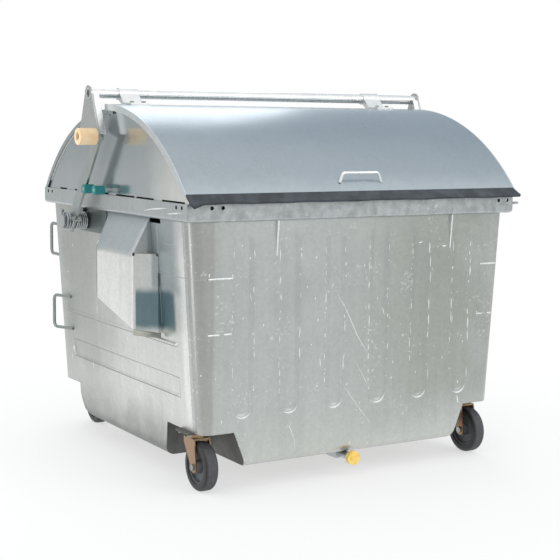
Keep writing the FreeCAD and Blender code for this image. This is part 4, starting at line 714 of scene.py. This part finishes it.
def touch(nodes, start, heading):
    """The first point and normal that a ray meets on CAD nodes."""
    hits = []
    for node in nodes:
        hit, point, normal = NODES[node].ray_cast(start, heading)[:3]
        if hit:
            hits.append(((point - start).length, point, normal))
    return min(hits)[1:] if hits else None


def path_on(nodes, starts, heading):
    """Points and normals where rays from the starts meet CAD nodes; a miss is left out."""
    hits = [touch(nodes, start, heading) for start in starts]
    return [hit for hit in hits if hit]


def tapered(count, width):
    """Widths that swell from a fine start to the full width and end round."""
    return [width * max(0.2, math.sin(math.pi * (index + 0.6) / (count + 0.2))) for index in range(count)]


class CONTAINER_OT_stage(Operator):
    """Make the floor, the soft light and the camera."""

    bl_idname = "container.stage"
    bl_label = "Stage"

    def execute(self, context):
        self.floor()
        self.sky()
        self.lamps()
        self.camera()
        context.scene.view_settings.view_transform = "Standard"
        return {"FINISHED"}

    def floor(self):
        """A pale floor that fades to white away from the object; metal sees it darken with distance."""
        bpy.ops.mesh.primitive_plane_add(size=FLOOR_WIDTH)
        floor = bpy.context.object
        floor.name = "floor"
        material, tree, shader, place = blank("white studio floor", Roughness=0.9)
        shader.inputs["Base Color"].default_value = linear("#F4F4F3")
        path = add(tree, "LightPath")
        camera_ray = path.outputs["Is Camera Ray"]
        away = add(tree, "VectorMath", {0: place}, operation="LENGTH")
        white = add(tree, "MapRange", {"Value": away.outputs["Value"], "From Min": FLOOR_FADE[0],
                                       "From Max": FLOOR_FADE[1], "To Min": 0.6, "To Max": 1.0})
        seen = add(tree, "Math", {0: white.outputs["Result"], 1: camera_ray}, operation="MULTIPLY")
        bent = add(tree, "Math", {0: path.outputs["Is Glossy Ray"], 1: path.outputs["Is Transmission Ray"]},
                   operation="MAXIMUM")
        mirrored = add(tree, "Math", {0: bent.outputs["Value"], 1: 0.85}, operation="MULTIPLY")
        share = add(tree, "Math", {0: seen.outputs["Value"], 1: mirrored.outputs["Value"]},
                    operation="MAXIMUM")
        behind = add(tree, "VectorMath", {0: place, 1: FLOOR_SHADE_MIDDLE}, operation="DISTANCE")
        shaded = add(tree, "MapRange", {"Value": behind.outputs["Value"], "From Min": FLOOR_SHADE[0],
                                        "From Max": FLOOR_SHADE[1], "To Min": 1.0, "To Max": 0.62})
        level = add(tree, "Math", {0: shaded.outputs["Result"], 1: camera_ray}, operation="MAXIMUM")
        glow = add(tree, "Emission", {"Color": linear("#FFFFFF"), "Strength": level.outputs["Value"]})
        mixed = add(tree, "MixShader", {0: share.outputs["Value"], 1: shader.outputs["BSDF"],
                                        2: glow.outputs["Emission"]})
        output = next(node for node in tree.nodes if node.type == "OUTPUT_MATERIAL")
        tree.links.new(mixed.outputs["Shader"], output.inputs["Surface"])
        floor.data.materials.append(material)

    def sky_colour(self, tree, height, bands):
        """The sky's colour by height above the horizon, from its lowest to its highest band."""
        blended = add(tree, "ValToRGB", {"Fac": height})
        marks = blended.color_ramp.elements
        for mark, (position, code) in zip(marks, (bands[0], bands[-1])):
            mark.position = position
            mark.color = linear(code)
        for position, code in bands[1:-1]:
            marks.new(position).color = linear(code)
        return blended.outputs["Color"]

    def sky(self):
        """White to the camera; metal mirrors a grey horizon and a sky that is blue-grey at the rear."""
        world = bpy.data.worlds.new("soft studio")
        bpy.context.scene.world = world
        world.use_nodes = True
        tree = world.node_tree
        tree.nodes.clear()
        view = add(tree, "TexCoord").outputs["Generated"]
        height = add(tree, "SeparateXYZ", {"Vector": view}).outputs["Z"]
        front = self.sky_colour(tree, height, FRONT_SKY)
        rear = self.sky_colour(tree, height, REAR_SKY)
        turned = add(tree, "VectorMath", {0: view, 1: REAR_SKY_DIRECTION}, operation="DOT_PRODUCT")
        behind = add(tree, "MapRange", {"Value": turned.outputs["Value"], "From Min": 0.3, "From Max": 0.7})
        mirrored = add(tree, "Mix", {SHARE: behind.outputs["Result"], FIRST: front, SECOND: rear},
                       data_type="RGBA")
        path = add(tree, "LightPath")
        camera_ray = path.outputs["Is Camera Ray"]
        seen = add(tree, "Mix", {SHARE: camera_ray, FIRST: mirrored.outputs[MIXED],
                                 SECOND: linear("#FFFFFF")}, data_type="RGBA")
        bent = add(tree, "Math", {0: path.outputs["Is Glossy Ray"], 1: path.outputs["Is Transmission Ray"]},
                   operation="MAXIMUM")
        shown = add(tree, "Math", {0: camera_ray, 1: bent.outputs["Value"]}, operation="MAXIMUM")
        clear = add(tree, "Background", {"Color": seen.outputs[MIXED], "Strength": 1.0})
        light = add(tree, "Background", {"Color": linear("#F6F8FA"), "Strength": 1.08})
        mixed = add(tree, "MixShader", {0: shown.outputs["Value"], 1: light.outputs["Background"],
                                        2: clear.outputs["Background"]})
        add(tree, "OutputWorld", {"Surface": mixed.outputs["Shader"]})

    def lamps(self):
        """Soft lamps at the left side, in front and behind, turned to the middle of the object."""
        for name, place, width, height, power in LAMPS:
            lamp = bpy.data.lights.new(name, "AREA")
            lamp.shape = "RECTANGLE"
            lamp.size = width
            lamp.size_y = height
            lamp.energy = power
            holder = bpy.data.objects.new(name, lamp)
            bpy.context.scene.collection.objects.link(holder)
            holder.location = place
            aim = LAMP_AIM - holder.location
            holder.rotation_euler = aim.to_track_quat("-Z", "Y").to_euler()

    def camera(self):
        """The camera at the photograph's viewing angle."""
        data = bpy.data.cameras.new("photo camera")
        data.lens = CAMERA_LENS
        data.sensor_width = CAMERA_SENSOR
        holder = bpy.data.objects.new("photo camera", data)
        bpy.context.scene.collection.objects.link(holder)
        yaw, pitch, roll = (math.radians(angle) for angle in (CAMERA_YAW, CAMERA_PITCH, CAMERA_ROLL))
        flat = math.cos(pitch)
        ahead = Vector((math.sin(yaw) * flat, math.cos(yaw) * flat, -math.sin(pitch)))
        right = Vector((math.cos(yaw), -math.sin(yaw), 0))
        up = right.cross(ahead)
        level = right * math.cos(roll) + up * math.sin(roll)
        upright = up * math.cos(roll) - right * math.sin(roll)
        turn = Matrix((level, upright, -ahead)).transposed().to_4x4()
        holder.matrix_world = Matrix.Translation(CAMERA_PLACE) @ turn
        bpy.context.scene.camera = holder


class CONTAINER_OT_tub(Operator):
    """Coat the tub, rim, dome and the welded pieces with zinc."""

    bl_idname = "container.tub"
    bl_label = "Tub and dome"

    def execute(self, context):
        sizes = context.scene.container_sizes
        colours = context.scene.container_colours
        rim = rim_sheet(colours)
        coat(tub_sheet(colours), "tub_front", "tub_rear", "tub_floor")
        # Painted shade on the caster housings and plates, which sit in recesses under the tub.
        coat(shaded_housing_sheet(), "front_housings", "rear_housings", "caster_plates")
        coat(side_sheet(colours, sizes), "tub_left", "tub_right", "lifting_box_left", "lifting_box_right")
        coat(rim, "rim_front", "rim_rear")
        coat(rail_sheet(colours), "rim_left", "rim_right", "hinge_pins", "drain_elbow", "stop_pins")
        coat(round_bar(colours), "upper_grab_handles", "lower_grab_handles")
        coat(dome_sheet(colours), "rear_hood", "end_plates")
        coat(shaded_bracket_plate(), "hinge_brackets")
        coat(gusset_highlight(colours), "front_gussets")
        zinc = guide_sheet()
        for side, sign in SIDES:
            self.guide(sizes, side, sign, zinc)
        self.pin(rim)
        return {"FINISHED"}

    def guide(self, sizes, side, sign, zinc):
        """The turned-out lower edge of a lifting box, which leads a lifting claw in."""
        low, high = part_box("lifting_box_" + side)
        face = max(abs(low.x), abs(high.x))
        outer = Vector((sign * (face - 2 * MM), low.y + 44 * MM, low.z + 14 * MM))
        inner = Vector((sign * (face - 82 * MM), low.y + 2 * MM, low.z + 4 * MM))
        out = Vector((sign * GUIDE_FACING.x, GUIDE_FACING.y, 0))
        steps = 4
        bend = math.radians(60)
        profile = []
        for step in range(steps + 1):
            turn = bend * step / steps
            reach = sizes.guide_bend * (1 - math.cos(turn)) + sizes.guide_lean * step / steps
            profile.append((reach, -sizes.guide_drop * math.sin(turn)))
        profile += [(reach - sizes.guide_sheet, drop) for reach, drop in reversed(profile)]

        def edge(shape):
            rings = []
            for end in (outer, inner):
                rings.append([shape.verts.new(end + out * reach + ALONG_Z * drop) for reach, drop in profile])
            skin(shape, rings)

        new_piece("lifting_guide_" + side, edge, zinc, "container")

    def pin(self, zinc):
        """A short locking pin that stands out of the right end of the rim."""
        low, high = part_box("rim_right")
        root = Vector((high.x - 4 * MM, low.y + 10 * MM, high.z - 24 * MM))
        points = [root + ALONG_X * distance * MM for distance, _ in PIN_PROFILE]
        radii = [radius * MM for _, radius in PIN_PROFILE]

        def turned(shape):
            tube(shape, points, radii, PIN_SIDES)

        new_piece("rim_pin", turned, zinc, "container")


class CONTAINER_OT_lid(Operator):
    """Coat the lid, its arms, tube and handle, and hang the rubber lip."""

    bl_idname = "container.lid"
    bl_label = "Lid and arms"

    def execute(self, context):
        sizes = context.scene.container_sizes
        colours = context.scene.container_colours
        coat(lid_sheet(colours), "lid_panel")
        coat(flat_bar(colours), "arm_lower_left", "arm_lower_right")
        coat(web_plate(), "arm_upper_left", "arm_upper_right")
        coat(bright_pipe(colours), "lid_handle", "cross_tube", "tube_clamps")
        coat(cast_nylon(colours), "arm_roller_left", "arm_roller_right")
        axles = ["axle_" + name for name in CORNERS]
        coat(plated_bolts(), "clamp_bolts", "roller_pins", "caster_bolts", *axles)
        self.lip(sizes, extruded_rubber(colours))
        return {"FINISHED"}

    def lip(self, sizes, rubber):
        """The rubber lip as one strip, whose left end has come loose and whose right end is cut slanting."""
        low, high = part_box("lid_lip")
        first = low.x + 14 * MM
        last = high.x - 1 * MM
        half = ALONG_Y * sizes.lip_wall / 2
        steps = 160

        def strip(shape):
            rings = []
            for step in range(steps + 1):
                across = first + (last - first) * step / steps
                line = self.lip_line(sizes, low, high, across - first, high.x - across, across)
                ring = [shape.verts.new(point + half) for point in line]
                ring += [shape.verts.new(point - half) for point in reversed(line)]
                rings.append(ring)
            skin(shape, rings)

        piece = new_piece("lid_lip_strip", strip, rubber, "lid")
        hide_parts("lid_lip")

    def lip_line(self, sizes, low, high, left, right, across):
        """The lip's section at a place, by its distance from the left and the right end.

        It runs from its head under the lid to its seat at the lid's edge and out to its low edge, which
        sways a little.
        """
        wall = sizes.lip_wall
        head = Vector((0, high.y - wall / 2, high.z - wall / 2))
        seat = Vector((0, low.y + 27 * MM, low.z + 26 * MM))
        foot = Vector((0, low.y + wall / 2 + 2 * MM, low.z + wall / 4))
        loose = min(1, left / (14 * MM), max(0, 1 - (left - 14 * MM) / (34 * MM)))
        narrowed = min(1, left / (12 * MM) + 0.15, right / (10 * MM) + 0.6)
        sway = 0.8 * MM * math.sin(across * 21) + 0.5 * MM * math.sin(across * 47)
        low_edge = seat + (foot - seat) * narrowed + Vector((0, sway, sway - sizes.lip_droop * loose))
        slant = sizes.lip_slant * max(0, 1 - right / (60 * MM))
        section = ((head, 1.0), (head.lerp(seat, 0.5), 0.8), (seat, 0.6), (seat.lerp(low_edge, 0.5), 0.3),
                   (low_edge, 0.0))
        return [point + ALONG_X * (across - slant * share) for point, share in section]


class CONTAINER_OT_springs(Operator):
    """Wind the torsion springs between the hinge brackets and the arms, and finish the stops."""

    bl_idname = "container.springs"
    bl_label = "Springs and stops"

    def execute(self, context):
        sizes = context.scene.container_sizes
        wire = spring_wire()
        for side, sign in SIDES:
            for layer, turns in SPRING_TURNS:
                self.wind(sizes, layer, side, sign, turns, wire)
        coat(moulded_stop(context.scene.container_colours), "stop_sleeves")
        return {"FINISHED"}

    def coil_ends(self, sizes, layer, node, turns):
        """Where a coil begins on the tub side and ends on the arm side, as distances from the middle.

        The legs drift sideways like the turns, so the wire with its legs fills the length of its CAD node.
        """
        low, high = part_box(node)
        near, far = sorted((abs(low.x), abs(high.x)))
        coil_length = 2 * math.pi * turns * sizes.spring_radius
        legs = sizes.spring_fixed_leg + sizes.spring_moving_leg
        rise = (far - near - 2 * sizes.spring_wire) / (coil_length + legs)
        fixed_drift = sizes.spring_wire + rise * sizes.spring_fixed_leg
        moving_drift = sizes.spring_wire + rise * sizes.spring_moving_leg
        if layer == "inner":
            return near + fixed_drift, far - moving_drift
        return far - fixed_drift, near + moving_drift

    def wind(self, sizes, layer, side, sign, turns, wire):
        """One spring as a coil with two straight legs, which winds up between the tub and the lid's arm."""
        node = layer + "_spring_" + side
        fixed, moving = self.coil_ends(sizes, layer, node, turns)
        along = Vector((0, ELBOW.y - HINGE.y, ELBOW.z - HINGE.z)).normalized()
        rearward = Vector((0, along.z, -along.y))
        steps = int(turns * COIL_STEPS)
        coil = []
        for step in range(steps + 1):
            angle = 2 * math.pi * turns * step / steps
            swing = rearward * math.cos(angle) - along * math.sin(angle)
            reach = ALONG_X * (fixed + (moving - fixed) * step / steps)
            coil.append(Vector((0, HINGE.y, HINGE.z)) + reach + swing * sizes.spring_radius)
        points = [coil[0] + (coil[0] - coil[1]).normalized() * sizes.spring_fixed_leg, *coil,
                  coil[-1] + (coil[-1] - coil[-2]).normalized() * sizes.spring_moving_leg]
        points = [Vector((sign * point.x, point.y, point.z)) for point in points]
        radii = [sizes.spring_wire] * len(points)

        def wound(shape):
            tube(shape, points, radii, WIRE_SIDES)

        piece = new_piece(node + "_wire", wound, wire, None)
        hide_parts(node)
        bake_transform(piece)


class CONTAINER_OT_casters(Operator):
    """Finish the casters and the drain cap."""

    bl_idname = "container.casters"
    bl_label = "Casters and drain"

    def execute(self, context):
        colours = context.scene.container_colours
        for kind, material in (("fork_", passivated_zinc(colours)), ("hub_", moulded_wheel(colours)),
                               ("tyre_", solid_tyre(colours))):
            coat(material, *[kind + name for name in CORNERS])
        coat(moulded_cap(colours), "drain_cap")
        return {"FINISHED"}


class CONTAINER_OT_welds(Operator):
    """Lay the butt weld round the tub, the stitches, and the welds of the lifting boxes and the dome."""

    bl_idname = "container.welds"
    bl_label = "Welds"

    def execute(self, context):
        sizes = context.scene.container_sizes
        bright, fine, dome = [], [], []
        for side, sign in SIDES:
            start, end = (place * MM for place in SEAM_ENDS[side])
            path = self.seam(sizes, side, sign, end)
            fine.append([place for place in path if abs(place[0].x) > start])
            bright.append([place for place in path if abs(place[0].x) <= start])
            for first, last in STITCH_ENDS[side]:
                bright.append(self.stitch(sizes, sign * first * MM, sign * last * MM))
            fine += self.box_welds(sizes, side, sign)
            dome.append(self.dome_seam(sign))
        width, height = sizes.weld_width, sizes.weld_height
        bright = [path for path in bright if len(path) > 2]
        self.lay("tub_welds", bright, width, height, weld_bead(context.scene.container_colours))
        plain = fine_weld()
        self.lay("side_welds", fine, width / 2, height / 2, plain)
        self.lay("dome_welds", dome, width * 2, height * 2, plain)
        return {"FINISHED"}

    def lay(self, name, paths, width, height, zinc):
        """Turn paths into rippled beads of one piece."""

        def beads(shape):
            for path in paths:
                widths = [width * (1 + 0.18 * math.cos(2 * math.pi * step / 3)) for step in range(len(path))]
                bead(shape, path, widths, height)

        new_piece(name, beads, zinc, "container")

    def dome_seam(self, sign):
        """The weld that closes the joint between an end plate and the folded lip of the hood.

        Along each line out of the middle of the plate's foot, the joint is where the plate's face ends.
        """
        low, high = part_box("end_plates")
        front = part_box("rear_hood")[0].y + 12 * MM
        centre = Vector((sign * OUTSIDE, (low.y + high.y) / 2, low.z + 30 * MM))
        inward = ALONG_X * -sign
        steps = 120
        path = []
        for step in range(steps + 1):
            angle = math.radians(90 * step / steps)
            out = Vector((0, math.cos(angle), math.sin(angle)))
            inside, beyond = 0.05, 0.9
            for _ in range(16):
                middle = (inside + beyond) / 2
                met = touch(("end_plates", "rear_hood"), centre + out * middle, inward)
                if met and abs(abs(met[0].x) - high.x) < 1 * MM:
                    inside = middle
                else:
                    beyond = middle
            point, normal = touch(("end_plates",), centre + out * inside, inward)
            if point.y > front:
                path.append((point, normal))
        return path

    def seam(self, sizes, side, sign, end):
        """The butt weld from the rear of a side, round the front corner, to a place on the front."""
        nodes = ("tub_" + side, "tub_front", "tub_rear")
        low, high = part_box("tub_" + side)
        ripple = sizes.weld_ripple
        level = Vector((0, 0, sizes.seam_height))
        rows = int((high.y - low.y) / ripple)
        starts = [level + Vector((sign * OUTSIDE, high.y - row * ripple, 0)) for row in range(rows)]
        path = path_on(nodes, starts, ALONG_X * -sign)
        corner = path[-1][0] - ALONG_X * sign * sizes.seam_corner
        for step in range(3, 29):
            angle = math.radians(90 * step / 30)
            out = Vector((sign * math.cos(angle), -math.sin(angle), 0))
            path += path_on(nodes, [corner + out * OUTSIDE], -out)
        across = abs(path[-1][0].x)
        columns = int((across - end) / ripple)
        starts = [level + Vector((sign * (across - column * ripple), -OUTSIDE, 0))
                  for column in range(1, columns)]
        return path + path_on(nodes, starts, ALONG_Y)

    def stitch(self, sizes, first, last):
        """A short weld across the front, between two places."""
        count = max(3, int(abs(last - first) / sizes.weld_ripple))
        starts = [Vector((first + (last - first) * step / count, -OUTSIDE, sizes.lower_seam_height))
                  for step in range(count + 1)]
        return path_on(("tub_front",), starts, ALONG_Y)

    def box_welds(self, sizes, side, sign):
        """The two upright welds and the level weld in front of a lifting box."""
        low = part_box("lifting_box_" + side)[0]
        foot = Vector((sign * OUTSIDE, low.y, low.z))
        paths = []
        for rise, heading, ripples in BOX_WELDS:
            starts = [foot + ALONG_Z * rise + heading * step * sizes.weld_ripple for step in range(ripples)]
            paths.append(path_on(("tub_" + side,), starts, ALONG_X * -sign))
        return paths


class CONTAINER_OT_runs(Operator):
    """Freeze zinc runs, drops and rib edges on the tub and the rim."""

    bl_idname = "container.runs"
    bl_label = "Zinc runs"

    def execute(self, context):
        sizes = context.scene.container_sizes
        zinc = fresh_runs(context.scene.container_colours)
        chance = random.Random(11)
        for panel, facing in (("front", -1), ("rear", 1)):
            runs = self.rib_runs(sizes, panel, facing, chance)
            runs += self.drops(sizes, "tub_" + panel, ALONG_Y * facing, sizes.run_count, chance)
            if panel == "front":
                runs += self.long_runs(sizes)
            self.freeze(sizes, panel, runs, zinc)
        for side, sign in SIDES:
            runs = self.drops(sizes, "tub_" + side, ALONG_X * sign, sizes.run_count // 3, chance)
            runs += self.rim_runs(sizes, side, sign)
            self.freeze(sizes, side, runs, zinc)
        return {"FINISHED"}

    def freeze(self, sizes, panel, runs, zinc):
        """Turn the runs of one panel into one piece."""

        def beads(shape):
            for path, width in runs:
                bead(shape, path, tapered(len(path), width), sizes.run_height)

        new_piece("zinc_runs_" + panel, beads, zinc, "container")

    def rib_runs(self, sizes, panel, facing, chance):
        """Broken runs down the edges of the ribs and bright crescents in their lower ends, the crescents
        partly a painted glint.
        """
        node = ("tub_" + panel,)
        runs = []
        for rib in range(RIBS):
            middle = (rib - (RIBS - 1) / 2) * sizes.rib_pitch
            for side, spacing in ((-1, 1.0), (1, 1.8)):
                edge = middle + side * sizes.rib_half_width
                runs += self.edge_runs(sizes, node, facing, edge, spacing, chance)
            runs.append(self.crescent(sizes, node, facing, middle, chance))
        return [run for run in runs if len(run[0]) > 2]

    def edge_runs(self, sizes, node, facing, edge, spacing, chance):
        """Short runs one under another, with gaps between them, down an edge of a rib."""
        runs = []
        height = sizes.rib_head - 60 * MM
        while height > sizes.rib_foot + 90 * MM:
            length = chance.choice(RUN_LENGTHS) * MM
            across = edge + chance.uniform(-3, 3) * MM
            starts = []
            for step in range(6):
                sideways = chance.uniform(-1, 1) * MM
                starts.append(Vector((across + sideways, facing * OUTSIDE, height - length * step / 5)))
            path = path_on(node, starts, ALONG_Y * -facing)
            runs.append((path, sizes.run_width * chance.uniform(0.5, 1.0)))
            height -= length + chance.choice(RUN_GAPS) * MM * spacing
        return runs

    def crescent(self, sizes, node, facing, middle, chance):
        """A bright run along the round lower end of a rib: partly frozen zinc and partly a painted glint on
        the slope that faces up there.
        """
        reach = sizes.rib_half_width - 3 * MM
        centre = Vector((middle, facing * OUTSIDE, sizes.rib_foot + sizes.rib_half_width))
        first = chance.uniform(-65, -40)
        last = chance.uniform(50, 95)
        arc = []
        for step in range(13):
            angle = math.radians(first + (last - first) * step / 12)
            arc.append(centre + Vector((math.sin(angle), 0, -math.cos(angle))) * reach)
        return path_on(node, arc, ALONG_Y * -facing), sizes.run_width * 0.9

    def long_runs(self, sizes):
        """Slanting and wavy runs on the front, from when the tub was drawn out of the zinc bath."""
        steps = 6
        runs = []
        for line, share in LONG_RUNS:
            points = [Vector((across * MM, -OUTSIDE, height * MM)) for across, height in line]
            starts = [first.lerp(second, step / steps)
                      for first, second in zip(points, points[1:]) for step in range(steps)]
            runs.append((path_on(("tub_front",), starts, ALONG_Y), sizes.run_width * share))
        return runs

    def rim_runs(self, sizes, side, sign):
        """Thick white runs that froze along the skirt of a side rail."""
        steps = 8
        runs = []
        for line in RIM_RUNS:
            points = [Vector((sign * OUTSIDE, along * MM, height * MM)) for along, height in line]
            starts = [first.lerp(second, step / steps)
                      for first, second in zip(points, points[1:]) for step in range(steps + 1)]
            # The skirt is straight, so every second place is enough.
            path = path_on(("rim_" + side,), starts[::2], ALONG_X * -sign)
            runs.append((path, sizes.run_width * RIM_RUN_SHARE))
        return runs

    def drops(self, sizes, node, out, count, chance):
        """Stray drops and short runs over a panel, with none at and beside the lifting box."""
        low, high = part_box(node)
        box_low, box_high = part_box("lifting_box_left")
        runs = []
        for _ in range(count):
            place = Vector([chance.uniform(start, end) for start, end in zip(low, high)])
            place.z = low.z + (high.z - low.z) * chance.uniform(0.15, 0.9)
            length = chance.choice(DROP_LENGTHS) * MM
            sideways = ALONG_Z.cross(out) * chance.uniform(-0.3, 0.3)
            starts = [place + out * OUTSIDE + (sideways - ALONG_Z) * length * step / 4 for step in range(5)]
            path = path_on((node,), starts, -out)
            beside = box_low.y - 0.15 < place.y < box_high.y and place.z > box_low.z - 0.05
            if len(path) > 2 and not beside:
                runs.append((path, sizes.run_width * chance.uniform(0.5, 1.2)))
        return runs


class CONTAINER_PT_panel(Panel):
    """Lists the sizes, the colours and the pieces of the container."""

    bl_idname = "CONTAINER_PT_panel"
    bl_label = "Waste container"
    bl_space_type = "VIEW_3D"
    bl_region_type = "UI"
    bl_category = "Container"

    def draw(self, context):
        for group in (context.scene.container_sizes, context.scene.container_colours):
            for name in group.__annotations__:
                self.layout.prop(group, name)
        for operator in OPERATORS:
            self.layout.operator(operator.bl_idname)


OPERATORS = (CONTAINER_OT_stage, CONTAINER_OT_tub, CONTAINER_OT_lid, CONTAINER_OT_springs,
             CONTAINER_OT_casters, CONTAINER_OT_welds, CONTAINER_OT_runs)
CLASSES = (ContainerSizes, ContainerColours, *OPERATORS, CONTAINER_PT_panel)


def register():
    """Make the settings, the operators and the panel known to Blender."""
    for item in CLASSES:
        bpy.utils.register_class(item)
    bpy.types.Scene.container_sizes = PointerProperty(type=ContainerSizes)
    bpy.types.Scene.container_colours = PointerProperty(type=ContainerColours)


def unregister():
    """Take the settings, the operators and the panel out again."""
    del bpy.types.Scene.container_colours
    del bpy.types.Scene.container_sizes
    for item in reversed(CLASSES):
        bpy.utils.unregister_class(item)


def main():
    """Dress the frame."""
    register()
    for operator in OPERATORS:
        category, name = operator.bl_idname.split(".")
        getattr(getattr(bpy.ops, category), name)()


if __name__ == "__main__":
    main()
